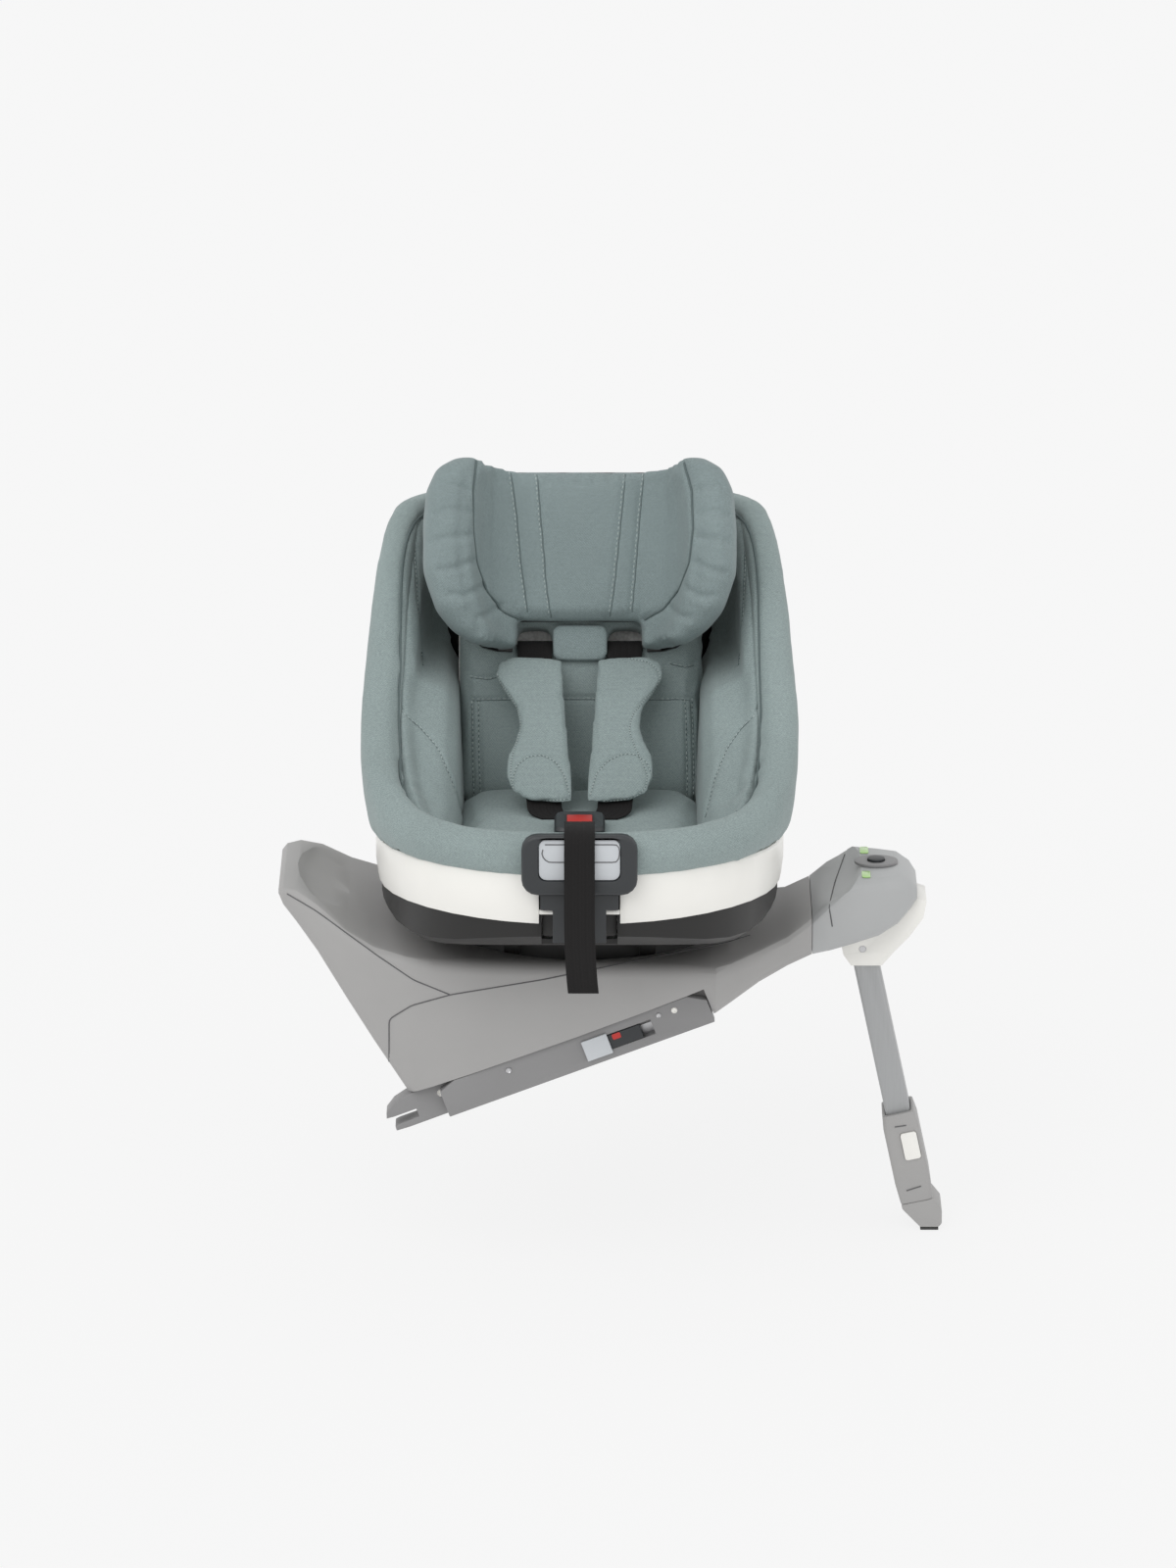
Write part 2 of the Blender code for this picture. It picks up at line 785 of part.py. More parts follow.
def pillow_loops(outline, place, low, high, squeeze):
    """Loops of a crowned pad from its outline and its two faces."""
    centre_a = sum(a for a, _ in outline) / len(outline)
    centre_b = sum(b for _, b in outline) / len(outline)

    def loop(share, level):
        return [place(centre_a + (a - centre_a) * share, centre_b + (b - centre_b) * share, level) for a, b in outline]

    middle = (low + high) / 2
    half = (high - low) / 2
    loops = [loop(0.45, low), loop(0.86, low), loop(1.0 - squeeze, low + 0.35 * half)]
    loops += [loop(1.0, middle), loop(1.0 - squeeze, high - 0.45 * half), loop(0.86, high - 0.16 * half)]
    loops += [loop(0.6, high - 0.02 * half), loop(0.3, high)]
    return loops


def seat_pad(finish_material):
    """The seat cushion."""
    length = SEAT_PAD_REAR - SEAT_PAD_FRONT
    outline = rounded_box(CUSHION_HALF_WIDTH, SEAT_PAD_FRONT, SEAT_PAD_REAR, length / 8, 4)
    top = SEAT_PAD_BOTTOM_Z + SEAT_PAD_THICK

    def place(a, b, level):
        share = (SEAT_PAD_REAR - b) / length
        lift = 0.25 * SEAT_PAD_THICK * max(0.0, share - 0.6) * (level - SEAT_PAD_BOTTOM_Z) / SEAT_PAD_THICK
        return (SEAT_X + a, b, level + lift)

    loops = pillow_loops(outline, place, SEAT_PAD_BOTTOM_Z, top, 0.02)
    return skin("seat_cushion", loops, finish_material)


def back_pad(finish_material):
    """The backrest pad with its two harness slots."""
    outline = rounded_box(CUSHION_HALF_WIDTH, BACK_PAD_LOW, BACK_PAD_TOP, CUSHION_HALF_WIDTH / 6, 4)
    loops = pillow_loops(outline, back_point, -BACK_PAD_THICK, 0.0, 0.02)
    made = skin("back_pad", loops, finish_material)
    for index, sign in enumerate((-1.0, 1.0)):
        corners = ((SLOT_INNER, SLOT_LOW), (SLOT_OUTER, SLOT_LOW), (SLOT_OUTER, SLOT_HIGH), (SLOT_INNER, SLOT_HIGH))
        tool = [[back_point(sign * side, up, out) for side, up in corners] for out in (-2.0 * BACK_PAD_THICK, BACK_PAD_THICK)]
        cut(made, tool, f"slot_cutter_{index}")
    return made


def skirt_side(y):
    """Inner side reach of the rolled rim at one place along the seat."""
    edge = []
    for low, high, away in wall_stations():
        x, along, _ = wall_point(low, high, away, -roll_at(high.y), rim_z(high.y) - COVER_SKIRT)
        edge.append((x - SEAT_X, along))
    best = RIM_HALF_WIDTH
    for first, second in zip(edge, edge[1:] + edge[:1]):
        if first[0] <= 0.0 or second[0] <= 0.0:
            continue
        low_y, high_y = sorted((first[1], second[1]))
        if low_y <= y <= high_y and high_y > low_y:
            part = (y - first[1]) / (second[1] - first[1])
            best = min(best, first[0] + (second[0] - first[0]) * part)
    return best - 2.4 * SLIP


def bolster(name, sign, finish_material):
    """One padded side wall inside the bucket."""
    loops = []
    for step in range(BOLSTER_STATIONS):
        y = BOLSTER_FRONT + (BOLSTER_REAR - BOLSTER_FRONT) * step / (BOLSTER_STATIONS - 1)
        edge = skirt_side(y)
        top = rim_z(y) - 1.5 * COVER_ROUND
        crest = min(rim_z(y) - COVER_SKIRT, BOLSTER_CREST_MAX)
        low = FOAM_TOP_Z + SLIP
        section = (
            (edge, low),
            (edge, top - BOLSTER_SKIN),
            (edge - 0.3 * BOLSTER_SKIN, top),
            (edge - BOLSTER_SKIN, top - BOLSTER_SKIN),
            (edge - 1.3 * BOLSTER_SKIN, crest + 2.0 * BOLSTER_SKIN),
            (BOLSTER_INNER + 1.4 * BOLSTER_LEAN, crest),
            (BOLSTER_INNER + 0.5 * BOLSTER_LEAN, crest - 1.6 * BOLSTER_LEAN),
            (BOLSTER_INNER, low + BOLSTER_LEAN),
            (BOLSTER_INNER, low),
        )
        loops.append([(SEAT_X + sign * side, y, z) for side, z in section])
    return skin(name, loops, finish_material)


def wing_loops(shares, sign):
    """Loops of a headrest section carried up the backrest, rounded at its ends."""
    loops = []
    for level, reach, spread in zip(WING_LEVEL_SHARES, WING_END_SHARES, WING_SIDE_SHARES):
        up = WING_LOW + (WING_TOP - WING_LOW) * level
        loop = []
        for side_share, out_share in shares:
            out = out_share * HEAD_MODULE
            if out > WING_SWEEP_START:
                out = WING_SWEEP_START + (out - WING_SWEEP_START) * reach
            side = side_share * HEAD_MODULE
            if abs(side) > WING_ROOT:
                side = math.copysign(WING_ROOT + (abs(side) - WING_ROOT) * spread, side)
            loop.append(back_point(sign * side, up, out))
        loops.append(loop)
    return loops


def head_shell(finish_material):
    """The hard frame of the headrest."""
    mirrored = [(-side, out) for side, out in reversed(HEAD_SHELL_SHARES)]
    section = list(HEAD_SHELL_SHARES) + mirrored
    made = skin("headrest_shell", wing_loops(section, 1.0), finish_material, origin=HEAD_ORIGIN)
    half = SLOT_OUTER + 4.0 * SLIP
    high = SLOT_HIGH + 8.0 * SLIP
    corners = ((-half, 0.0), (half, 0.0), (half, high), (-half, high))
    tool = [[back_point(side, up, out) for side, up in corners] for out in (-HEAD_PAD_BACK, 3.0 * HEAD_PAD_BACK)]
    cut(made, tool, "head_notch_cutter")
    return made


def head_wing(name, sign, finish_material):
    """One padded side wing of the headrest."""
    return skin(name, wing_loops(WING_PAD_SHARES, sign), finish_material, origin=HEAD_ORIGIN)


def head_carrier(finish_material):
    """The hooked plate that carries the headrest over the backrest."""
    rear = BACK_PAD_THICK + SLIP
    over = BACK_PAD_TOP + SLIP
    front = SLIP + 0.75 * HEAD_CARRIER_PLATE
    outline = (
        (WING_LOW / 3, -rear - HEAD_CARRIER_PLATE),
        (over + HEAD_CARRIER_PLATE, -rear - HEAD_CARRIER_PLATE),
        (over + HEAD_CARRIER_PLATE, front),
        (SLOT_HIGH + TAB_HALF, front),
        (SLOT_HIGH + TAB_HALF, SLIP),
        (over, SLIP),
        (over, -rear),
        (WING_LOW / 3, -rear),
    )
    loops = [[back_point(side, up, out) for up, out in outline] for side in (-HEAD_CARRIER_HALF, HEAD_CARRIER_HALF)]
    return skin("headrest_carrier", loops, finish_material, smooth=False, origin=HEAD_ORIGIN)


def head_pad(finish_material):
    """The centre pad of the headrest."""
    outline = rounded_box(HEAD_PAD_HALF, HEAD_LOW, HEAD_TOP, HEAD_PAD_HALF / 5, 4)
    low = HEAD_PAD_BACK + FIT
    loops = pillow_loops(outline, back_point, low, low + HEAD_PAD_THICK, 0.02)
    return skin("headrest_pad", loops, finish_material, origin=HEAD_ORIGIN)


def neck_tab(finish_material):
    """The short fabric tab below the headrest, between the straps."""
    outline = rounded_box(TAB_HALF, HEAD_LOW - TAB_LENGTH, HEAD_LOW + 1.5 * SLIP, TAB_THICK, 3)
    low = HEAD_PAD_BACK + FIT
    loops = pillow_loops(outline, back_point, low, low + TAB_THICK, 0.04)
    return skin("neck_tab", loops, finish_material, origin=HEAD_ORIGIN)


def chest_point(sign, across, along, level):
    """A point on the line the shoulder straps follow to the buckle."""
    top = Vector(back_point(sign * STRAP_OFFSET, CHEST_TOP_UP, CHEST_TOP_OUT))
    foot = Vector((SEAT_X + sign * CHEST_FOOT_SIDE, CHEST_FOOT_Y, CHEST_FOOT_Z))
    run = foot - top
    normal = Vector((0.0, run.z, -run.y)).normalized()
    spot = top + run * along + Vector((sign * across, 0.0, 0.0)) + normal * level
    return tuple(spot)


def chest_pad(name, sign, low, high, share, finish_material):
    """One layer of a shoulder pad."""
    middle = sum(along for _, along in CHEST_PAD_SHARES) / len(CHEST_PAD_SHARES)
    outline = []
    for across, along in CHEST_PAD_SHARES:
        outline.append((across * share * SEAT_MODULE, middle + (along - middle) * share))

    def place(across, along, level):
        return chest_point(sign, across, along, level)

    return skin(name, pillow_loops(outline, place, low, high, 0.03), finish_material, origin=HEAD_ORIGIN)


def shoulder_strap(name, sign, finish_material):
    """The webbing from the backrest slot through the pad to the tongue."""
    sideways = (1.0, 0.0, 0.0)
    path = [
        back_point(sign * STRAP_OFFSET, STRAP_UP, -BACK_PAD_THICK),
        back_point(sign * STRAP_OFFSET, STRAP_UP, CHEST_TOP_OUT / 4),
        chest_point(sign, 0.0, 0.0, 0.0),
        chest_point(sign, 0.0, 0.5, 0.0),
        chest_point(sign, 0.0, 1.0, 0.0),
        (SEAT_X + sign * TONGUE_SIDE, TONGUE_Y, TONGUE_Z + 1.4 * STRAP_THICK),
    ]
    mesh = band_mesh([(point, sideways) for point in path], STRAP_WIDTH, STRAP_THICK)
    return finish(name, mesh, finish_material, smooth=False)


def lap_strap(name, sign, finish_material):
    """The webbing from one hip slot to its tongue."""
    path = []
    for side_share, along_share, rise_share in LAP_STRAP_SHARES:
        x = SEAT_X + sign * side_share * SEAT_MODULE
        z = SEAT_PAD_BOTTOM_Z + SEAT_PAD_THICK + rise_share * SEAT_MODULE
        path.append((x, along_share * SEAT_MODULE, z))
    run = Vector(path[-1]) - Vector(path[0])
    across = Vector((-run.y, run.x, 0.0)).normalized()
    mesh = band_mesh([(point, across) for point in path], 0.7 * STRAP_WIDTH, STRAP_THICK)
    return finish(name, mesh, finish_material, smooth=False)


def tongue(name, sign, finish_material):
    """One steel tongue in the mouth of the buckle."""
    low_y = BUCKLE_Y + BUCKLE_LENGTH / 2 + FIT
    outline = rounded_box(TONGUE_HALF, low_y, TONGUE_Y + STRAP_WIDTH / 5, STRAP_THICK)
    middle = SEAT_X + sign * TONGUE_SIDE
    loops = [[(middle + x, y, TONGUE_Z + rise) for x, y in outline] for rise in (-STRAP_THICK / 2, STRAP_THICK / 2)]
    return skin(name, loops, finish_material, smooth=False)


def strap_over(name, shares, width, finish_material):
    """Webbing that follows a line of shares in the middle of the seat."""
    path = [(SEAT_X + side * SEAT_MODULE, y * SEAT_MODULE, z * SEAT_MODULE) for side, y, z in shares]
    mesh = band_mesh([(point, (1.0, 0.0, 0.0)) for point in path], width, STRAP_THICK)
    return finish(name, mesh, finish_material, smooth=False)


def buckle(finish_material, button_material):
    """The harness buckle and its release button."""
    low_y = BUCKLE_Y - BUCKLE_LENGTH / 2
    high_y = BUCKLE_Y + BUCKLE_LENGTH / 2
    low_z = BUCKLE_Z - BUCKLE_HEIGHT / 2
    high_z = BUCKLE_Z + BUCKLE_HEIGHT / 2
    outline = rounded_box(BUCKLE_WIDTH / 2, low_y, high_y, BUCKLE_HEIGHT / 2)
    small = rounded_box(0.92 * BUCKLE_WIDTH / 2, low_y + STRAP_THICK, high_y - STRAP_THICK, BUCKLE_HEIGHT / 2)
    levels = ((small, low_z), (outline, low_z + 2.0 * STRAP_THICK), (outline, high_z - 2.0 * STRAP_THICK), (small, high_z))
    body = skin("buckle", [[(SEAT_X + x, y, z) for x, y in loop] for loop, z in levels], finish_material)
    half = BUCKLE_WIDTH / 4
    button_low = high_z - 2.2 * STRAP_THICK
    button_y = BUCKLE_Y - half
    pocket = rounded_box(half + FIT, button_y - FIT, button_y + 2.0 * half + FIT, STRAP_THICK)
    cut(body, [[(SEAT_X + x, y, z) for x, y in pocket] for z in (button_low - BUTTON_TRAVEL - SLIP, 2.0 * high_z)], "buckle_pocket")
    origin = (SEAT_X, BUCKLE_Y, high_z)
    face = rounded_box(half, button_y, button_y + 2.0 * half, STRAP_THICK)
    loops = [[(SEAT_X + x, y, z) for x, y in face] for z in (button_low, high_z + STRAP_THICK)]
    button = skin("buckle_button", loops, button_material, smooth=False, origin=origin)
    return [body, button]


def front_adjuster(bezel_material, panel_material):
    """The frame and press panel of the harness adjuster."""
    rear_y = BEZEL_FRONT_Y + BEZEL_DEPTH
    outer = rounded_box(BEZEL_HALF, BEZEL_LOW_Z, BEZEL_HIGH_Z, BEZEL_ROUND, 4)
    inner = rounded_box(PANEL_HALF + SLIP, PANEL_LOW_Z - SLIP, PANEL_HIGH_Z + SLIP, BEZEL_ROUND / 2, 4)
    front = BEZEL_FRONT_Y
    chamfer = COVER_ROUND / 3
    small = rounded_box(BEZEL_HALF - chamfer, BEZEL_LOW_Z + chamfer, BEZEL_HIGH_Z - chamfer, BEZEL_ROUND - chamfer, 4)
    rings = ((outer, rear_y), (outer, front + chamfer), (small, front), (inner, front), (inner, rear_y))
    loops = [[(SEAT_X + x, y, z) for x, z in ring] for ring, y in rings]
    bezel = skin("adjuster_bezel", loops, bezel_material, ring=True)
    face = rounded_box(PANEL_HALF, PANEL_LOW_Z, PANEL_HIGH_Z, BEZEL_ROUND / 2, 4)
    depth = BEZEL_DEPTH / 3
    origin = (SEAT_X, front, (PANEL_LOW_Z + PANEL_HIGH_Z) / 2)
    plate = [[(SEAT_X + x, y, z) for x, z in face] for y in (front + depth / 2, front + 1.7 * depth)]
    panel = skin("adjuster_panel", plate, panel_material, origin=origin)
    return [bezel, panel]


def recline_lever(lever_material, pin_material, housing_material):
    """The front recline lever, its pin and the latch housing behind."""
    axis = (SEAT_X, LEVER_AXIS_Y, LEVER_AXIS_Z)
    front = LEVER_AXIS_Y - LEVER_DEPTH
    rear = LEVER_AXIS_Y + 0.3 * LEVER_DEPTH
    outline = (
        (-LEVER_BAR_HALF + SLIP, BEZEL_LOW_Z - 3.0 * SLIP),
        (-LEVER_BAR_HALF + SLIP, LEVER_AXIS_Z + PIN_RADIUS + 2.0 * SLIP),
        (-LEVER_BLOCK_HALF, LEVER_AXIS_Z + PIN_RADIUS + 2.0 * SLIP),
        (-LEVER_BLOCK_HALF, LEVER_LOW_Z),
        (LEVER_BLOCK_HALF, LEVER_LOW_Z),
        (LEVER_BLOCK_HALF, LEVER_AXIS_Z + PIN_RADIUS + 2.0 * SLIP),
        (LEVER_BAR_HALF - SLIP, LEVER_AXIS_Z + PIN_RADIUS + 2.0 * SLIP),
        (LEVER_BAR_HALF - SLIP, BEZEL_LOW_Z - 3.0 * SLIP),
    )
    loops = [[(SEAT_X + x, y, z) for x, z in outline] for y in (front, rear)]
    lever = skin("recline_lever", loops, lever_material, smooth=False, origin=axis)
    bore = circle_outline(LEVER_AXIS_Y, LEVER_AXIS_Z, LEVER_PIN_RADIUS + FIT, 16)
    cut(lever, [[(SEAT_X + x, y, z) for y, z in bore] for x in (-LEVER_BAR_HALF, LEVER_BAR_HALF)], "lever_bore")
    start = (SEAT_X - TRIM_GAP_HALF + FIT, LEVER_AXIS_Y, LEVER_AXIS_Z)
    end = (SEAT_X + TRIM_GAP_HALF - FIT, LEVER_AXIS_Y, LEVER_AXIS_Z)
    pins = finish("lever_pin", rod_mesh(start, end, LEVER_PIN_RADIUS, 16), pin_material)
    back_y = -LOWER_FRONT + 1.8 * SHELL_WALL
    face = rounded_box(NOTCH_HALF - SLIP, FOAM_TOP_Z - 0.8 * COVER_ROUND - FRONT_DROP, BEZEL_LOW_Z + COVER_ROUND, COVER_ROUND / 2)
    box = [[(SEAT_X + x, y, z) for x, z in face] for y in (back_y, back_y + 3.0 * SHELL_WALL)]
    housing = skin("latch_housing", box, housing_material, smooth=False)
    return [lever, pins, housing]


def circle_outline(centre_a, centre_b, radius, count=24):
    """Outline of a circle."""
    points = []
    for step in range(count):
        turn = 2.0 * math.pi * step / count
        points.append((centre_a + radius * math.cos(turn), centre_b + radius * math.sin(turn)))
    return points


def base_loops(stations):
    """Loops of the base body from its stations along X."""
    loops = []
    for x_share, low_share, high_share, half_share in stations:
        x = x_share * BASE_MODULE
        line = x * math.tan(SLOPE) - UNDERSIDE_DROP / math.cos(SLOPE)
        low = line + (UNDERPAN_THICK + FIT) / math.cos(SLOPE) if low_share is None else low_share * BASE_MODULE
        high = high_share * BASE_MODULE
        half = half_share * BASE_MODULE
        radius = min(BASE_ROUND, 0.45 * (high - low))
        loops.append([(x, y, z) for y, z in rounded_box(half, low, high, radius)])
    return loops


def dish_loops():
    """The round clearance the turning seat needs above the base."""
    loops = []
    for radius_share, height_share in DISH_SHARES:
        ring = circle_outline(SEAT_X, 0.0, radius_share * BASE_MODULE, 48)
        height = TURN_TOP_Z + height_share * BASE_MODULE
        loops.append([(x, y, height) for x, y in ring])
    return loops


def base_housing(finish_material):
    """The main base body with its dish and the channels of the anchor frame."""
    made = skin("base_housing", base_loops(HOUSING_SHARES), finish_material)
    cut(made, dish_loops(), "dish_cutter")
    high = CHANNEL_HEIGHT + SLIP
    low = -CHANNEL_HEIGHT
    bar = FRAME_LOW + FRAME_HEIGHT + SLIP
    end = TRIM_END + SLIP
    head = ARM_START + SLIP
    front = -TRIM_START
    steps = [(front, low), (end, low), (end, bar), (head, bar), (head, high + FIT), (front, high + FIT)]
    cross_start = ARM_END - FRAME_TRAVEL - ARM_WIDTH
    cross = [(cross_start, 1.1 * low), (end + FIT, 1.1 * low), (end + FIT, bar + FIT), (cross_start, bar + FIT)]
    side = [(1.2 * front, 1.2 * low), (end + 2.0 * FIT, 1.2 * low), (end + 2.0 * FIT, high), (1.2 * front, high)]
    cut(made, side_prism(slope_outline(cross), -CHANNEL_INNER - SLIP, CHANNEL_INNER + SLIP), "cross_cutter")
    for index, sign in enumerate((-1.0, 1.0)):
        inner = sign * CHANNEL_INNER
        split = sign * (TRIM_INNER_Y - FIT)
        cut(made, side_prism(slope_outline(steps), inner, split + sign * SHELL_WALL), f"rail_cutter_{index}")
        cut(made, side_prism(slope_outline(side), split, 2.0 * inner), f"side_cutter_{index}")
    return made


def nose_parts(body_material, panel_material, button_material, window_material):
    """The nose above the leg with its panel, turn button and windows."""
    body = skin("nose_cover", base_loops(NOSE_SHARES), body_material)
    cut(body, dish_loops(), "nose_dish_cutter")
    top = NOSE_TOP_Z + FIT
    panel_top = top + PANEL_PLATE
    outer = [(NOSE_BUTTON_X + (x - NOSE_BUTTON_X) * 1.2, y) for x, y in circle_outline(NOSE_BUTTON_X, 0.0, NOSE_PANEL_HALF)]
    inner = circle_outline(NOSE_BUTTON_X, 0.0, NOSE_BUTTON_RADIUS + FIT)
    rings = ((outer, top), (outer, panel_top), (inner, panel_top), (inner, top))
    panel = skin("nose_panel", [[(x, y, z) for x, y in ring] for ring, z in rings], panel_material, ring=True)
    low = (NOSE_BUTTON_X, 0.0, top + BUTTON_TRAVEL)
    high = (NOSE_BUTTON_X, 0.0, panel_top + BUTTON_TRAVEL)
    mesh = rod_mesh(low, high, NOSE_BUTTON_RADIUS, 24)
    button = finish("turn_button", mesh, button_material, origin=high)
    made = [body, panel, button]
    for side, sign in (("near", -1.0), ("far", 1.0)):
        outline = rounded_box(WINDOW_HALF, -WINDOW_LENGTH / 2, WINDOW_LENGTH / 2, WINDOW_HALF / 2)
        spots = [(WINDOW_X + x, sign * WINDOW_Y + y) for x, y in outline]
        loops = [[(x, y, z) for x, y in spots] for z in (top, top + PANEL_PLATE / 3)]
        made.append(skin(f"status_window_{side}", loops, window_material, smooth=False))
    return made


def underpan(finish_material):
    """The plate that closes the underside between the channels."""
    outline = slope_outline([(ARM_START, 0.0), (UNDERPAN_END, 0.0), (UNDERPAN_END, UNDERPAN_THICK), (ARM_START, UNDERPAN_THICK)])
    return skin("base_underpan", side_prism(outline, -CHANNEL_INNER, CHANNEL_INNER), finish_material, smooth=False)


def grip_strips(finish_material):
    """The two rubber strips that grip the car seat."""
    made = []
    for name, start in (("grip_strip_low", PAD_FIRST), ("grip_strip_high", PAD_SECOND)):
        corners = ((start, -PAD_THICK - FIT), (start + PAD_LENGTH, -PAD_THICK - FIT), (start + PAD_LENGTH, -FIT), (start, -FIT))
        loops = side_prism(slope_outline(corners), -PAD_REACH, PAD_REACH)
        made.append(skin(name, loops, finish_material, smooth=False))
    return made


def base_trim(name, sign, finish_material):
    """The lower side panel with the window of the release slider."""
    low = TRIM_START + SLIP
    outline = slope_outline([
        (low, FIT), (TRIM_END, FIT), (TRIM_END, 0.7 * CHANNEL_HEIGHT), (TRIM_END - CHANNEL_HEIGHT / 2, CHANNEL_HEIGHT),
        (low + CHANNEL_HEIGHT / 2, CHANNEL_HEIGHT), (low, 0.8 * CHANNEL_HEIGHT),
    ])
    made = skin(name, side_prism(outline, sign * TRIM_INNER_Y, sign * TRIM_OUTER_Y), finish_material, smooth=False)
    window = slope_outline([
        (SLIDER_START - SLIP, SLIDER_LOW - SLIP), (SLIDER_END + SLIDER_TRAVEL + SLIP, SLIDER_LOW - SLIP),
        (SLIDER_END + SLIDER_TRAVEL + SLIP, SLIDER_HIGH + SLIP), (SLIDER_START - SLIP, SLIDER_HIGH + SLIP),
    ])
    cut(made, side_prism(window, sign * TRIM_INNER_Y / 1.1, sign * TRIM_OUTER_Y * 1.1), name + "_window")
    return made


def slider_parts(name, sign, body_material, thumb_material):
    """The release slider in its window and its light thumb piece."""
    origin = (*slope_point(SLIDER_START, SLIDER_LOW)[:1], sign * TRIM_OUTER_Y, slope_point(SLIDER_START, SLIDER_LOW)[1])
    body = slope_outline([(SLIDER_START, SLIDER_LOW), (SLIDER_END, SLIDER_LOW), (SLIDER_END, SLIDER_HIGH), (SLIDER_START, SLIDER_HIGH)])
    face = sign * (TRIM_OUTER_Y + SLIP)
    made = skin(name, side_prism(body, sign * (TRIM_INNER_Y + SLIP), face), body_material, smooth=False, origin=origin)
    grip = THUMB_OVERLAP
    thumb = slope_outline([
        (SLIDER_START - grip, SLIDER_LOW - grip), (SLIDER_START + THUMB_LENGTH, SLIDER_LOW - grip),
        (SLIDER_START + THUMB_LENGTH, SLIDER_HIGH + grip), (SLIDER_START - grip, SLIDER_HIGH + grip),
    ])
    loops = side_prism(thumb, face + sign * FIT, face + sign * THUMB_THICK)
    return [made, skin(name + "_thumb", loops, thumb_material, smooth=False, origin=origin)]


def anchor_frame(frame_material, head_material):
    """The sliding anchor frame and its two jaws."""
    outer = ARM_CENTRE_Y + ARM_WIDTH / 2
    inner = ARM_CENTRE_Y - ARM_WIDTH / 2
    plan = (
        (ARM_START, -outer), (ARM_END, -outer), (ARM_END, outer), (ARM_START, outer),
        (ARM_START, inner), (ARM_END - ARM_WIDTH, inner), (ARM_END - ARM_WIDTH, -inner), (ARM_START, -inner),
    )
    loops = []
    for above in (FRAME_LOW, FRAME_LOW + FRAME_HEIGHT):
        spots = [(slope_point(along, above), y) for along, y in plan]
        loops.append([(spot[0], y, spot[1]) for spot, y in spots])
    made = [skin("anchor_frame", loops, frame_material, smooth=False)]
    outline = slope_outline([(along * BASE_MODULE, above * BASE_MODULE) for along, above in JAW_SHARES])
    for name, sign in (("anchor_jaw_near", -1.0), ("anchor_jaw_far", 1.0)):
        loops = side_prism(outline, sign * inner, sign * outer)
        made.append(skin(name, loops, head_material, smooth=False))
    return made


def turntable(ring_material, carrier_material):
    """The bearing ring and the turning carrier with its two arc rails."""
    low = TURN_TOP_Z + FIT
    high = TURN_TOP_Z + RING_HEIGHT
    mesh = rod_mesh((SEAT_X, 0.0, low), (SEAT_X, 0.0, high), RING_RADIUS, 48, None, RING_INNER)
    ring = finish("turn_ring", mesh, ring_material)
    top = high + FIT + CARRIER_DISC
    origin = (SEAT_X, 0.0, high)
    mesh = rod_mesh((SEAT_X, 0.0, high + FIT), (SEAT_X, 0.0, top), CARRIER_RADIUS, 48)
    carrier = finish("seat_carrier", mesh, carrier_material, origin=origin)
    for index, sign in enumerate((-1.0, 1.0)):
        loops = []
        for step in range(RAIL_STATIONS):
            y = -RAIL_REACH + 2.0 * RAIL_REACH * step / (RAIL_STATIONS - 1)
            crown = arc_z(y, ARC_RADIUS + 1.3 * SLIP)
            left = SEAT_X + sign * RAIL_CENTRE_X - RAIL_WIDTH / 2
            right = left + RAIL_WIDTH
            bottom = top - CARRIER_DISC / 2
            loops.append([(left, y, bottom), (right, y, bottom), (right, y, crown), (left, y, crown)])
        cut(carrier, loops, f"rail_{index}", "UNION")
    return [ring, carrier]


def leg_loop(half_x, half_y, down, radius):
    """A rounded loop across the support leg."""
    points = []
    for across, y in rounded_box(half_x, -half_y, half_y, radius):
        x, z = leg_point(across, down)
        points.append((x, y, z))
    return points


def tube(name, half_x, half_y, start, end, finish_material, origin):
    """An open rectangular tube along the support leg."""
    inside_x = half_x - TUBE_WALL
    inside_y = half_y - TUBE_WALL
    loops = [
        leg_loop(half_x, half_y, start, 2.0 * TUBE_WALL),
        leg_loop(half_x, half_y, end, 2.0 * TUBE_WALL),
        leg_loop(inside_x, inside_y, end, TUBE_WALL),
        leg_loop(inside_x, inside_y, start, TUBE_WALL),
    ]
    return skin(name, loops, finish_material, ring=True, origin=origin)


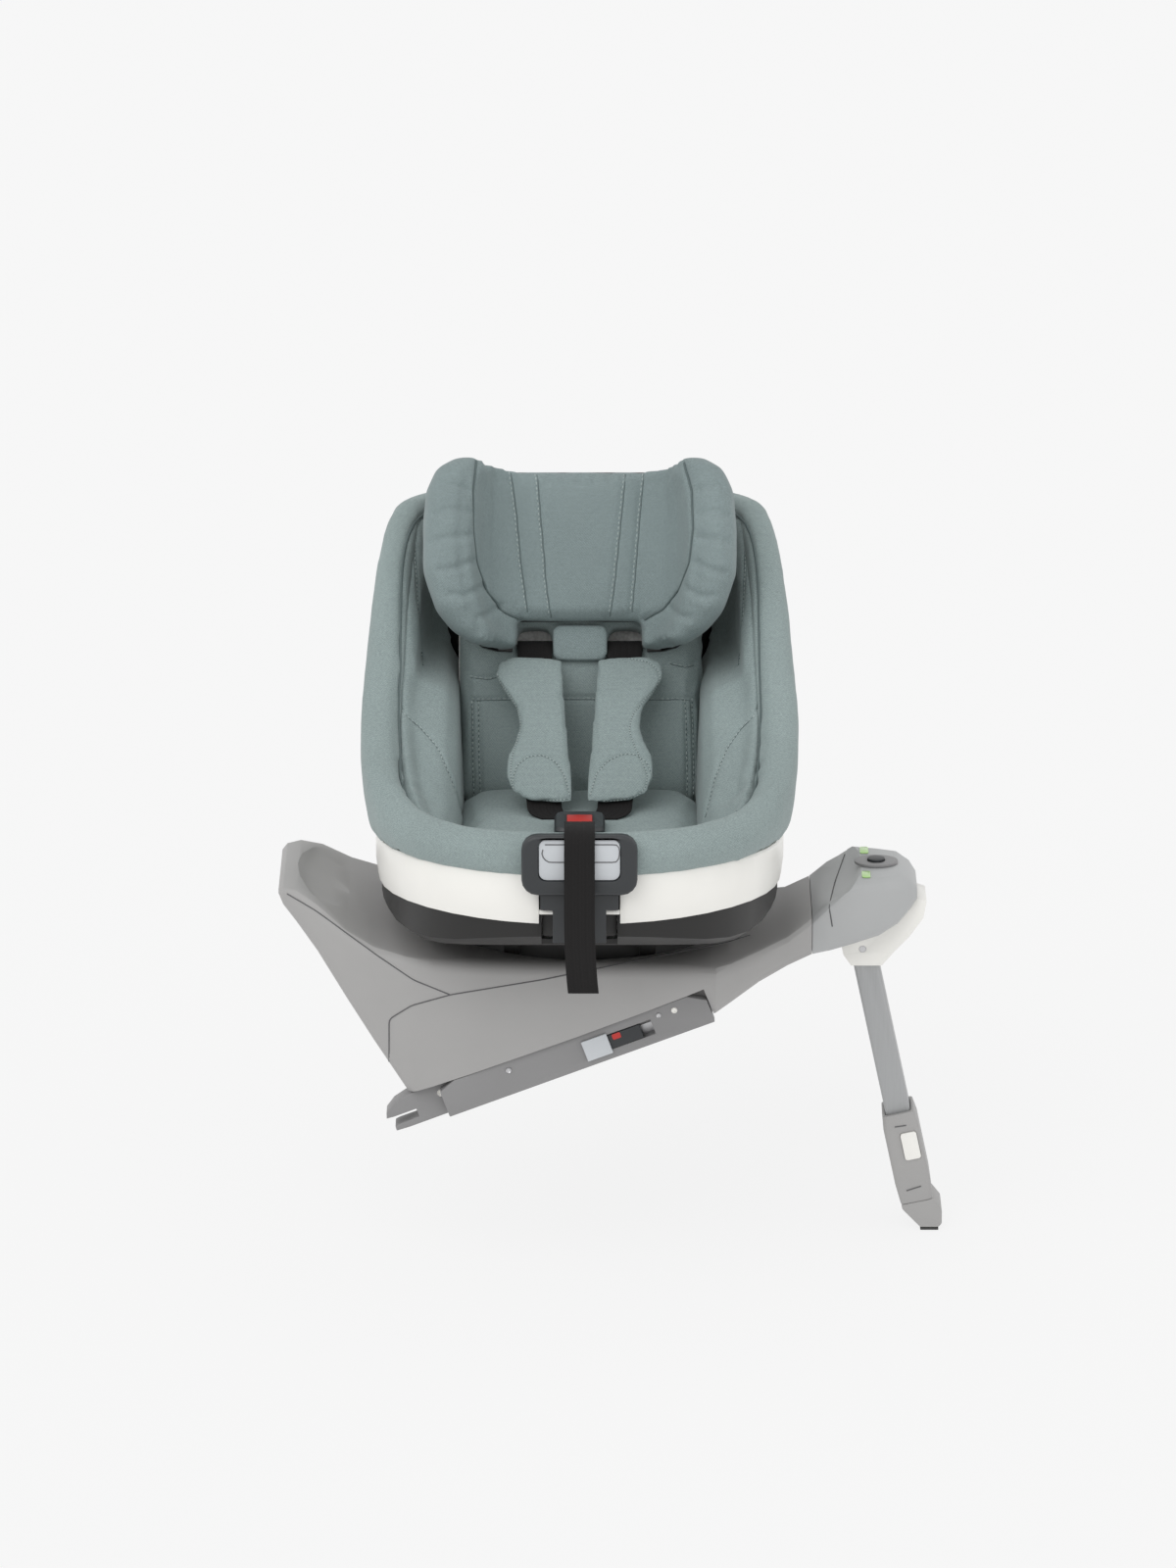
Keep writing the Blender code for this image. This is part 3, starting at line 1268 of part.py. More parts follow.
def support_leg(white, metal, dark, grey, rubber):
    """The folding telescopic leg with its bracket and foot."""
    hinge = (LEG_AXIS_X, 0.0, LEG_AXIS_Z)
    hole = circle_outline(LEG_AXIS_X, LEG_AXIS_Z, PIN_RADIUS + FIT, 20)
    outline = [(x * LEG_MODULE, z * LEG_MODULE) for x, z in BRACKET_SHARES]
    bracket = skin("leg_bracket", side_prism(outline, -BRACKET_HALF, BRACKET_HALF), white, smooth=False)
    swing = [(LEG_AXIS_X + x * LEG_MODULE, LEG_AXIS_Z + z * LEG_MODULE) for x, z in SWING_SHARES]
    cut(bracket, side_prism(swing, -TUBE_HALF_Y - SLIP, TUBE_HALF_Y + SLIP), "swing_cutter")
    cut(bracket, side_prism(hole, -2.0 * BRACKET_HALF, 2.0 * BRACKET_HALF), "bracket_hole")
    outer = tube("leg_tube", TUBE_HALF_X, TUBE_HALF_Y, -TUBE_TOP, TUBE_END, metal, hinge)
    cut(outer, side_prism(hole, -2.0 * BRACKET_HALF, 2.0 * BRACKET_HALF), "tube_hole")
    mesh = rod_mesh((LEG_AXIS_X, -BRACKET_HALF, LEG_AXIS_Z), (LEG_AXIS_X, BRACKET_HALF, LEG_AXIS_Z), PIN_RADIUS, 20)
    pin = finish("leg_pin", mesh, dark, origin=hinge)
    slim_x = TUBE_HALF_X - TUBE_WALL - SLIP
    slim_y = TUBE_HALF_Y - TUBE_WALL - SLIP
    inner = tube("leg_inner_tube", slim_x, slim_y, INNER_TUBE_START, CAVITY_END - FIT, metal, hinge)
    rows = [[share * LEG_MODULE for share in row] for row in HOUSING_ROW_SHARES]
    loops = [leg_loop(half_x, half_y, down, 2.5 * TUBE_WALL) for down, half_x, half_y in rows]
    housing = skin("foot_housing", loops, grey, origin=hinge)
    cavity = [leg_loop(TUBE_HALF_X + SLIP, TUBE_HALF_Y + SLIP, down, 2.0 * TUBE_WALL) for down in (HOUSING_TOP / 2, CAVITY_END)]
    cut(housing, cavity, "cavity_cutter")
    button_outline = []
    pocket_outline = []
    for across, down in rounded_box(KEY_HALF_X, KEY_DOWN - KEY_HALF_Z, KEY_DOWN + KEY_HALF_Z, KEY_HALF_X / 3):
        button_outline.append(leg_point(across + KEY_ACROSS, down))
    for across, down in rounded_box(KEY_HALF_X + FIT, KEY_DOWN - KEY_HALF_Z - FIT, KEY_DOWN + KEY_HALF_Z + FIT, KEY_HALF_X / 3):
        pocket_outline.append(leg_point(across + KEY_ACROSS, down))
    face = HOUSING_FACE_Y
    cut(housing, side_prism(pocket_outline, 2.0 * face, face + KEY_DEPTH + BUTTON_TRAVEL), "key_pocket")
    key_x, key_z = leg_point(KEY_ACROSS, KEY_DOWN)
    key_loops = side_prism(button_outline, face - KEY_DEPTH / 2, face + KEY_DEPTH - SLIP)
    key = skin("leg_release_key", key_loops, white, origin=(key_x, face, key_z))
    left = leg_point(-FOOT_HALF, HOUSING_END + FIT)
    right = leg_point(FOOT_HALF, HOUSING_END + FIT)
    block = [left, right] + [(x * LEG_MODULE, z * LEG_MODULE) for x, z in FOOT_SHARES]
    foot = skin("foot_block", side_prism(block, -TUBE_HALF_Y * 1.35, TUBE_HALF_Y * 1.35), grey, smooth=False, origin=hinge)
    low_x = FOOT_SHARES[-2][0] * LEG_MODULE
    high_x = FOOT_SHARES[-3][0] * LEG_MODULE
    sole_box = [(low_x, FLOOR_Z), (high_x, FLOOR_Z), (high_x, FLOOR_Z + SOLE_THICK), (low_x, FLOOR_Z + SOLE_THICK)]
    sole = skin("foot_sole", side_prism(sole_box, -TUBE_HALF_Y * 1.3, TUBE_HALF_Y * 1.3), rubber, smooth=False, origin=hinge)
    return [bracket, outer, pin, inner, housing, key, foot, sole]


def main():
    """Build every piece of the seat."""
    clear_scene()
    fabric = material("sage_fabric", (0.235, 0.300, 0.285), 0.9)
    fabric_dark = material("sage_fabric_inner", (0.205, 0.265, 0.252), 0.92)
    webbing = material("black_webbing", (0.025, 0.024, 0.024), 0.85)
    black = material("black_plastic", (0.022, 0.020, 0.019), 0.5)
    charcoal = material("charcoal_plastic", (0.055, 0.058, 0.062), 0.45)
    white = material("white_plastic", (0.80, 0.79, 0.77), 0.4)
    pale_grey = material("pale_grey_plastic", (0.52, 0.54, 0.56), 0.4)
    base_grey = material("base_grey_plastic", (0.30, 0.30, 0.305), 0.5)
    base_dark = material("base_dark_plastic", (0.22, 0.22, 0.225), 0.5)
    steel = material("steel", (0.55, 0.55, 0.56), 0.35, 1.0)
    leg_metal = material("leg_metal", (0.33, 0.33, 0.335), 0.4, 0.6)
    foam = material("white_foam", (0.75, 0.75, 0.73), 0.8)
    red = material("red_plastic", (0.55, 0.03, 0.025), 0.4)
    green = material("green_window", (0.30, 0.62, 0.18), 0.4)
    rubber = material("dark_rubber", (0.06, 0.06, 0.06), 0.9)

    base_housing(base_grey)
    nose_parts(base_grey, base_dark, charcoal, green)
    underpan(base_dark)
    grip_strips(rubber)
    base_trim("base_trim_near", -1.0, base_dark)
    base_trim("base_trim_far", 1.0, base_dark)
    slider_parts("slider_near", -1.0, charcoal, pale_grey)
    slider_parts("slider_far", 1.0, charcoal, pale_grey)
    anchor_frame(steel, base_dark)
    turntable(charcoal, black)
    support_leg(white, leg_metal, steel, base_grey, rubber)

    seat_shell(black)
    trim_band(white)
    rim_cover(fabric)
    foam_liner(foam)
    back_foam(foam)
    seat_pad(fabric_dark)
    back_pad(fabric_dark)
    bolster("bolster_left", -1.0, fabric_dark)
    bolster("bolster_right", 1.0, fabric_dark)
    front_adjuster(charcoal, pale_grey)
    recline_lever(charcoal, white, black)

    head_shell(black)
    head_carrier(charcoal)
    head_pad(fabric)
    head_wing("headrest_wing_left", -1.0, fabric)
    head_wing("headrest_wing_right", 1.0, fabric)
    neck_tab(fabric)

    low = STRAP_THICK / 2 + FIT
    for side, sign in (("left", -1.0), ("right", 1.0)):
        shoulder_strap(f"shoulder_strap_{side}", sign, webbing)
        lap_strap(f"lap_strap_{side}", sign, webbing)
        tongue(f"tongue_{side}", sign, steel)
        chest_pad(f"chest_pad_{side}", sign, low, low + CHEST_PAD_THICK, 1.0, fabric)
    strap_over("crotch_strap", CROTCH_STRAP_SHARES, 0.8 * STRAP_WIDTH, webbing)
    strap_over("pull_strap", PULL_STRAP_SHARES, PULL_STRAP_WIDTH, webbing)
    buckle(charcoal, red)


main()
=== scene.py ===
"""Looks of a swivelling child car seat on its fixed base.

The seat's fabric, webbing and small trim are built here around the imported
frame, and every hard piece of the frame gets its moulded or metal finish.
"""

from __future__ import annotations

import json
import logging
import math
from dataclasses import dataclass
from enum import Enum
from functools import cache

import bmesh
import bpy
from bpy.types import Material, Node, NodeSocket, NodeTree
from bpy.types import Object as Piece
from mathutils import Matrix, Vector, kdtree, noise
from mathutils.bvhtree import BVHTree
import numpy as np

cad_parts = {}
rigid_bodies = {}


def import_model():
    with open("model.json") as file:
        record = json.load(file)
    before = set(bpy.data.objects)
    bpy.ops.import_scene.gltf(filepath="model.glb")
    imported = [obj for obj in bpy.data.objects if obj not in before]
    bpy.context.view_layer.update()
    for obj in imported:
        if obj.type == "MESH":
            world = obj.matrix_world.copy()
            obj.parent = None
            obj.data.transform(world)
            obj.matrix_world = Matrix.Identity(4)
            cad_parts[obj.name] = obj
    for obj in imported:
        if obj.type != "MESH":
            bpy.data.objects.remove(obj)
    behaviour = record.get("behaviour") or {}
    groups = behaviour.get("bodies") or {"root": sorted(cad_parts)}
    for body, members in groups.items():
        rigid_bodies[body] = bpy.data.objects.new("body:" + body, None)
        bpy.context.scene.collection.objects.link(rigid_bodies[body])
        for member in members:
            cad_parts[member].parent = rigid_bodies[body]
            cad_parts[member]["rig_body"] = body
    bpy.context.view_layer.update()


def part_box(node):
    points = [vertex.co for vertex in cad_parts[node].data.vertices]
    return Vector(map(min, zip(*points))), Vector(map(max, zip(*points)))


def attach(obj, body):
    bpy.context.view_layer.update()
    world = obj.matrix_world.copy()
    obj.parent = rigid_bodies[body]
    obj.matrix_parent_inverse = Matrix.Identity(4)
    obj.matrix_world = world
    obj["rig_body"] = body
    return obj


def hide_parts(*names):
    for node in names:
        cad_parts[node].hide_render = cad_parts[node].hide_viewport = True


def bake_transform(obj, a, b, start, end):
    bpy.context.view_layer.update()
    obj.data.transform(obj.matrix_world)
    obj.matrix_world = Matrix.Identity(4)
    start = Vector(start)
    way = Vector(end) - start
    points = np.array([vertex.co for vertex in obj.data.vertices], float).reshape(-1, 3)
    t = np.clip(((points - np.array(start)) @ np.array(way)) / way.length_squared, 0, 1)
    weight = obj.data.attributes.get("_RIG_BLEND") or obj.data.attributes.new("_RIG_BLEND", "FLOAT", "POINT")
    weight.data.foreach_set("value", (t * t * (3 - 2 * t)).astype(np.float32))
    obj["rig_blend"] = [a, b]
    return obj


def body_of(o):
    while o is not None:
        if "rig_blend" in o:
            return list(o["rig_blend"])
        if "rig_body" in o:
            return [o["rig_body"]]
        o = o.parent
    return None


LOG = logging.getLogger("child_seat")
Colour = tuple[float, float, float]
Pixel = tuple[float, float]
Line = list[tuple[Vector, Vector]]

SEAT_X = 0.170
THREAD_HALF = (0.00068, 0.00060)
THREAD_LIFT = 0.00015
SIDEWAYS = Vector((1.0, 0.0, 0.0))
BACK_ANGLE = math.radians(25.0)
BACK_FOOT = Vector((SEAT_X, 0.075, 0.288))
PIXEL_SIZE = 0.001016
VIEW_DISTANCE = 10.0
VIEW_SINE = 0.2924
VIEW_COSINE = 0.9563
LOOK_AT = Vector((0.1786, 0.0, 0.3092))
PHOTO_CENTRE = (600.0, 800.0)


def back_point(side: float, up: float, out: float) -> Vector:
    """Place a point on the leaning backrest.

    Args:
        side: Distance to the right of the seat's middle, in metres.
        up: Distance up the backrest.
        out: Distance out of its face.

    Returns:
        The point in the row frame.
    """
    y = up * math.sin(BACK_ANGLE) - out * math.cos(BACK_ANGLE)
    z = up * math.cos(BACK_ANGLE) + out * math.sin(BACK_ANGLE)
    return BACK_FOOT + Vector((side, y, z))


class NodeWriter:
    """Writes shader nodes into one tree."""

    def __init__(self, tree: NodeTree) -> None:
        """Keep the tree that the nodes go into."""
        self.tree = tree

    def add(self, kind: str, settings: dict | None = None, **inputs) -> Node:
        """Add one node.

        Args:
            kind: The node's type name without its ShaderNode prefix.
            settings: Properties of the node itself.
            inputs: Socket values or outputs to link, by socket name or index.

        Returns:
            The new node.
        """
        made = self.tree.nodes.new(kind if kind.startswith("NodeGroup") else "ShaderNode" + kind)
        for name, value in (settings or {}).items():
            setattr(made, name, value)
        for name, value in inputs.items():
            key = int(name[1:]) if name.startswith("_") else name.replace("_", " ")
            self.set(made.inputs[key], value)
        return made

    def set(self, socket: NodeSocket, value) -> None:
        """Link an output to a socket, or write a plain value on it."""
        if isinstance(value, NodeSocket):
            self.tree.links.new(value, socket)
        else:
            socket.default_value = value

    def math(self, operation: str, *values) -> NodeSocket:
        """Add a Math node and return its result."""
        inputs = {f"_{index}": value for index, value in enumerate(values)}
        return self.add("Math", {"operation": operation}, **inputs).outputs[0]

    def vector(self, operation: str, *values) -> NodeSocket:
        """Add a Vector Math node and return its vector."""
        inputs = {f"_{index}": value for index, value in enumerate(values)}
        return self.add("VectorMath", {"operation": operation}, **inputs).outputs[0]

    def ramp(
        self, factor, low: float, high: float, floor: float = 0.0, top: float = 1.0
    ) -> NodeSocket:
        """Map a range of values to another."""
        node = self.add("MapRange", {"clamp": True}, _0=factor, _1=low, _2=high, _3=floor, _4=top)
        return node.outputs[0]

    def mix(self, factor, first, second, blend: str = "MIX") -> NodeSocket:
        """Mix two colours and return the result."""
        settings = {"data_type": "RGBA", "blend_type": blend}
        return self.add("Mix", settings, _0=factor, _6=first, _7=second).outputs[2]

    def here(self) -> NodeSocket:
        """Return the object coordinates."""
        return self.add("TexCoord").outputs["Object"]

    def relief(self, shader: Node, height, strength: float, depth: float, sunk: bool = False) -> None:
        """Raise a shader's surface by a height.

        Args:
            shader: The shader whose normal is bent.
            height: The height between 0 and 1.
            strength: How much the bump shows.
            depth: The height's full depth in metres.
            sunk: Whether the height goes inwards.
        """
        bump = self.add("Bump", {"invert": sunk}, Strength=strength, Distance=depth, Height=height)
        self.set(shader.inputs["Normal"], bump.outputs[0])

    def plain(self, shader: Node, **values) -> None:
        """Write constants on a shader's own sockets."""
        for name, value in values.items():
            shader.inputs[name.replace("_", " ")].default_value = value


class Effects:
    """Shared shader groups for cloth, moulded plastic and use."""

    @staticmethod
    def _start(name: str, control: tuple[str, float], outputs: tuple[str, ...]):
        """Open a new group with named sockets.

        Args:
            name: The group's name.
            control: Name and default of its one input.
            outputs: Names of the value outputs.

        Returns:
            The group's writer, its input node and its output node.
        """
        tree = bpy.data.node_groups.new(name, "ShaderNodeTree")
        kind = "NodeSocketFloat"
        made = tree.interface.new_socket(name=control[0], in_out="INPUT", socket_type=kind)
        made.default_value = control[1]
        for socket in outputs:
            tree.interface.new_socket(name=socket, in_out="OUTPUT", socket_type=kind)
        return NodeWriter(tree), tree.nodes.new("NodeGroupInput"), tree.nodes.new("NodeGroupOutput")

    @staticmethod
    @cache
    def weave() -> NodeTree:
        """Plain weave on object coordinates, seen square to each face."""
        w, source, result = Effects._start("plain_weave", ("Pitch", 0.0012), ("Height", "Tone"))
        place = w.add("TexCoord")
        turn = w.vector("ABSOLUTE", place.outputs["Normal"])
        count = w.math("DIVIDE", math.pi, source.outputs["Pitch"])
        scale = {"operation": "SCALE"}
        scaled = w.add("VectorMath", scale, _0=place.outputs["Object"], Scale=count).outputs[0]
        waves = w.add("SeparateXYZ", _0=w.vector("SINE", scaled)).outputs
        across = [w.math("MULTIPLY", waves[a], waves[b]) for a, b in ((1, 2), (0, 2), (0, 1))]
        pairs = w.add("CombineXYZ", _0=across[0], _1=across[1], _2=across[2]).outputs[0]
        height = w.add("VectorMath", {"operation": "DOT_PRODUCT"}, _0=pairs, _1=turn).outputs["Value"]
        w.set(result.inputs["Height"], w.math("MULTIPLY_ADD", height, 0.5, 0.5))
        flat = w.vector("MULTIPLY", place.outputs["Object"], (420.0, 420.0, 1900.0))
        upright = w.vector("MULTIPLY", place.outputs["Object"], (1700.0, 1700.0, 380.0))
        weft = w.add("TexNoise", _2=1.0, Detail=2.0, Vector=flat).outputs[0]
        warp = w.add("TexNoise", _2=1.0, Detail=2.0, Vector=upright).outputs[0]
        w.set(result.inputs["Tone"], w.math("MULTIPLY_ADD", w.math("ADD", weft, warp), 0.5, 0.0))
        return w.tree

    @staticmethod
    @cache
    def grain() -> NodeTree:
        """Fine leather-like grain of moulded plastic."""
        w, source, result = Effects._start("moulded_grain", ("Size", 0.0009), ("Height", "Patch"))
        place = w.here()
        count = w.math("DIVIDE", 1.0, source.outputs["Size"])
        cells = w.add("TexVoronoi", {"feature": "SMOOTH_F1"}, Vector=place, Scale=count).outputs["Distance"]
        patch = w.add("TexNoise", Vector=place, Scale=9.0, Detail=4.0).outputs[0]
        w.set(result.inputs["Height"], cells)
        w.set(result.inputs["Patch"], patch)
        return w.tree

    @staticmethod
    @cache
    def handling() -> NodeTree:
        """Soft smudges and faint scratches from handling."""
        w, source, result = Effects._start("handling", ("Amount", 0.5), ("Smudge", "Scratch"))
        place = w.here()
        smudge = w.add("TexNoise", Vector=place, Scale=14.0, Detail=5.0, Roughness=0.6).outputs[0]
        stretched = w.vector("MULTIPLY", place, (60.0, 900.0, 900.0))
        scratch = w.add("TexNoise", Vector=stretched, Scale=1.0, Detail=1.0).outputs[0]
        amount = source.outputs["Amount"]
        w.set(result.inputs["Smudge"], w.math("MULTIPLY", w.ramp(smudge, 0.45, 0.75), amount))
        w.set(result.inputs["Scratch"], w.math("MULTIPLY", w.ramp(scratch, 0.66, 0.74), amount))
        return w.tree


def open_material(name: str) -> tuple[NodeWriter, Node]:
    """Make a material and return its writer and its Principled shader."""
    made = bpy.data.materials.new(name)
    made.use_nodes = True
    writer = NodeWriter(made.node_tree)
    return writer, made.node_tree.nodes["Principled BSDF"]


def shade(colour: Colour, level: float) -> tuple[float, float, float, float]:
    """Lighten or darken a colour by a factor."""
    return (min(colour[0] * level, 1.0), min(colour[1] * level, 1.0), min(colour[2] * level, 1.0), 1.0)


@dataclass(frozen=True)
class Look:
    """A named look with one main colour."""

    name: str
    colour: Colour

    def paint(self, w: NodeWriter, shader: Node) -> None:
        """Write the look's nodes."""

    def build(self) -> Material:
        """Return the look's new material."""
        w, shader = open_material(self.name)
        self.paint(w, shader)
        return bpy.data.materials[self.name]

    def tones(self, w: NodeWriter, factor, low: float, high: float) -> NodeSocket:
        """Mix two tones of the colour by a factor."""
        return w.mix(factor, shade(self.colour, low), shade(self.colour, high))


@dataclass(frozen=True)
class FabricFinish(Look):
    """Woven melange upholstery cloth."""

    contrast: float = 0.20
    pitch: float = 0.0013
    relief: float = 0.00016
    sheen: float = 0.12

    def paint(self, w: NodeWriter, shader: Node) -> None:
        """Write the cloth's nodes."""
        weave = w.add("Group", {"node_tree": Effects.weave()}, Pitch=self.pitch)
        patch = w.add("TexNoise", Vector=w.here(), Scale=7.0, Detail=3.0).outputs[0]
        tone = w.ramp(weave.outputs["Tone"], 0.36, 0.64)
        thread = self.tones(w, tone, 1.0 - self.contrast, 1.0 + self.contrast)
        # Painted shade: the weave's low points between the threads are darkened, then multiplied by a random
        # patch tone.
        gap_shade = w.ramp(weave.outputs["Height"], 0.15, 0.55, 0.82, 1.0)
        soft = w.ramp(patch, 0.3, 0.7, 0.955, 1.045)
        level = w.math("MULTIPLY", gap_shade, soft)
        shadow = w.add("CombineColor", _0=level, _1=level, _2=level).outputs[0]
        height = w.math("ADD", weave.outputs["Height"], w.math("MULTIPLY", weave.outputs["Tone"], 0.8))
        w.set(shader.inputs["Base Color"], w.mix(1.0, thread, shadow, "MULTIPLY"))
        w.relief(shader, height, 0.55, self.relief)
        w.plain(shader, Roughness=0.88, Specular_IOR_Level=0.25)
        w.plain(shader, Sheen_Weight=self.sheen, Sheen_Roughness=0.45)


@dataclass(frozen=True)
class WebbingFinish(Look):
    """Tightly woven polyester webbing that reads the strap's own UV map."""

    rib: float = 0.0017
    row: float = 0.0035

    def paint(self, w: NodeWriter, shader: Node) -> None:
        """Write the webbing's nodes."""
        uv = w.add("UVMap", {"uv_map": "band"}).outputs[0]
        across, along, _ = w.add("SeparateXYZ", _0=uv).outputs
        slant = w.math("ADD", along, w.math("PINGPONG", across, self.row))
        ribs = w.math("SINE", w.math("MULTIPLY", slant, math.tau / self.rib))
        rows = w.math("SINE", w.math("MULTIPLY", across, math.tau / self.row))
        height = w.math("ADD", w.math("MULTIPLY", ribs, 0.7), w.math("MULTIPLY", rows, 0.3))
        fuzz = w.add("TexNoise", Vector=uv, Scale=900.0, Detail=2.0).outputs[0]
        # Painted shade of the weave: lighter on the ribs and darker between them, mixed with random fuzz.
        tone = w.ramp(w.math("ADD", w.math("MULTIPLY", height, 0.35), fuzz), 0.1, 0.9)
        w.set(shader.inputs["Base Color"], self.tones(w, tone, 0.65, 1.5))
        w.relief(shader, height, 0.6, 0.0003)
        w.plain(shader, Roughness=0.70, Specular_IOR_Level=0.22, Sheen_Weight=0.02)


@dataclass(frozen=True)
class PlasticFinish(Look):
    """Moulded plastic with a fine grain."""

    roughness: float = 0.45
    grain: float = 0.0009
    relief: float = 0.00005
    coat: float = 0.0
    use: float = 0.35

    def paint(self, w: NodeWriter, shader: Node) -> None:
        """Write the plastic's nodes."""
        grain = w.add("Group", {"node_tree": Effects.grain()}, Size=self.grain)
        use = w.add("Group", {"node_tree": Effects.handling()}, Amount=self.use)
        soft = w.ramp(grain.outputs["Patch"], 0.3, 0.7)
        base = self.tones(w, soft, 0.965, 1.035)
        worn = w.mix(w.math("MULTIPLY", use.outputs["Scratch"], 0.25), base, shade(self.colour, 1.25))
        w.set(shader.inputs["Base Color"], worn)
        rough = w.math("ADD", self.roughness, w.math("MULTIPLY", use.outputs["Smudge"], 0.16))
        scratched = w.math("ADD", rough, w.math("MULTIPLY", use.outputs["Scratch"], 0.1))
        w.set(shader.inputs["Roughness"], scratched)
        w.relief(shader, grain.outputs["Height"], 0.5, self.relief)
        w.plain(shader, Coat_Weight=self.coat, Coat_Roughness=0.2)


@dataclass(frozen=True)
class MetalFinish(Look):
    """Bare or coated metal with drawn lines."""

    roughness: float = 0.35
    metallic: float = 1.0

    def paint(self, w: NodeWriter, shader: Node) -> None:
        """Write the metal's nodes."""
        drawn = w.vector("MULTIPLY", w.here(), (700.0, 700.0, 14.0))
        lines = w.add("TexNoise", Vector=drawn, Scale=1.0, Detail=2.0).outputs[0]
        use = w.add("Group", {"node_tree": Effects.handling()}, Amount=0.5)
        w.set(shader.inputs["Base Color"], self.tones(w, lines, 0.9, 1.1))
        rough = w.ramp(lines, 0.3, 0.7, self.roughness - 0.06, self.roughness + 0.08)
        smudged = w.math("ADD", rough, w.math("MULTIPLY", use.outputs["Smudge"], 0.12))
        w.set(shader.inputs["Roughness"], smudged)
        w.relief(shader, lines, 0.25, 0.00004)
        w.plain(shader, Metallic=self.metallic)


@dataclass(frozen=True)
class FoamFinish(Look):
    """Moulded bead foam."""

    bead: float = 0.0035

    def paint(self, w: NodeWriter, shader: Node) -> None:
        """Write the foam's nodes."""
        beads = w.add("TexVoronoi", Vector=w.here(), Scale=1.0 / self.bead).outputs["Distance"]
        # Painted shade: the foam is darker where the beads meet.
        edge = w.ramp(beads, 0.35, 0.75)
        w.set(shader.inputs["Base Color"], self.tones(w, edge, 1.0, 0.8))
        w.relief(shader, beads, 0.5, 0.0006, sunk=True)
        w.plain(shader, Roughness=0.85)


class Finish(Enum):
    """Every finish on the seat and its base."""

    # The rim sleeve's cloth is the lining's cloth made a little lighter: painted light on the rim, which
    # faces the front.
    COVER = FabricFinish("lit_cover_cloth", (0.288, 0.350, 0.346))
    LINING = FabricFinish("lining_cloth", (0.275, 0.335, 0.332))
    HEAD = FabricFinish("headrest_cloth", (0.238, 0.294, 0.296))
    # Dark cloth for the piping and the thin lines beside the stitches: its darkness is painted shade along
    # the seams.
    PIPING = FabricFinish("painted_shade_cloth", (0.125, 0.162, 0.162), contrast=0.1, pitch=0.0008)
    THREAD = FabricFinish("sewing_thread", (0.440, 0.510, 0.500), contrast=0.06, pitch=0.0004)
    WEBBING = WebbingFinish("black_webbing_weave", (0.0085, 0.0078, 0.0078))
    TUB = PlasticFinish("black_tub", (0.0075, 0.007, 0.0065), roughness=0.46)
    CHARCOAL = PlasticFinish("charcoal_moulding", (0.026, 0.029, 0.032), roughness=0.40)
    WHITE = PlasticFinish("warm_white_moulding", (0.86, 0.85, 0.81), 0.32, 0.0004, relief=0.00002, coat=0.15)
    PALE = PlasticFinish("pale_grey_moulding", (0.56, 0.585, 0.61), 0.34, 0.0005, relief=0.00003)
    BASE = PlasticFinish("base_grey_moulding", (0.365, 0.360, 0.355), roughness=0.50, relief=0.00008)
    BASE_DARK = PlasticFinish("base_dark_moulding", (0.250, 0.248, 0.250), roughness=0.48)
    NOSE = PlasticFinish("nose_grey_moulding", (0.425, 0.433, 0.435), roughness=0.42)
    LEG = MetalFinish("leg_coated_tube", (0.385, 0.392, 0.396), roughness=0.42, metallic=0.35)
    STEEL = MetalFinish("plain_steel", (0.56, 0.56, 0.57))
    FOAM = FoamFinish("bead_foam", (0.76, 0.76, 0.74))
    RED = PlasticFinish("red_button", (0.52, 0.028, 0.022), roughness=0.33)
    GREEN = PlasticFinish("green_window_plastic", (0.40, 0.66, 0.22), roughness=0.22, coat=0.6)
    # Thin dark lines along panel gaps: painted shade in the gaps.
    SEAM = PlasticFinish("shadow_gap", (0.115, 0.115, 0.118), roughness=0.7)
    RUBBER = PlasticFinish("dark_rubber_sole", (0.050, 0.050, 0.050), roughness=0.85, grain=0.0015)

    def material(self) -> Material:
        """Return the finish's material, made on first use."""
        return bpy.data.materials.get(self.value.name) or self.value.build()


def dress(piece: Piece, finish: Finish) -> Piece:
    """Give a piece one finish on all its slots."""
    if not piece.material_slots:
        piece.data.materials.append(None)
    for slot in piece.material_slots:
        slot.material = finish.material()
    return piece


def link(name: str, data: bpy.types.ID) -> Piece:
    """Put data into the scene as an object."""
    made = bpy.data.objects.new(name, data)
    bpy.context.scene.collection.objects.link(made)
    return made


def to_object(name: str, mesh: bmesh.types.BMesh, finish: Finish, smooth: bool = True) -> Piece:
    """Turn a bmesh into a named object at the origin.

    Args:
        name: The piece's name.
        mesh: The bmesh, which is freed.
        finish: The piece's finish.
        smooth: Whether its faces are shaded smooth.

    Returns:
        The new object.
    """
    data = bpy.data.meshes.new(name)
    mesh.to_mesh(data)
    mesh.free()
    if smooth:
        data.shade_smooth()
    return dress(link(name, data), finish)


def bake(piece: Piece) -> None:
    """Replace a piece's mesh by its evaluated one and drop its modifiers."""
    graph = bpy.context.evaluated_depsgraph_get()
    graph.update()
    data = bpy.data.meshes.new_from_object(piece.evaluated_get(graph))
    piece.modifiers.clear()
    old = piece.data
    piece.data = data
    bpy.data.meshes.remove(old)


def camera_place() -> Vector:
    """Return where the camera stands."""
    return LOOK_AT + Vector((0.0, -VIEW_COSINE, VIEW_SINE)) * VIEW_DISTANCE


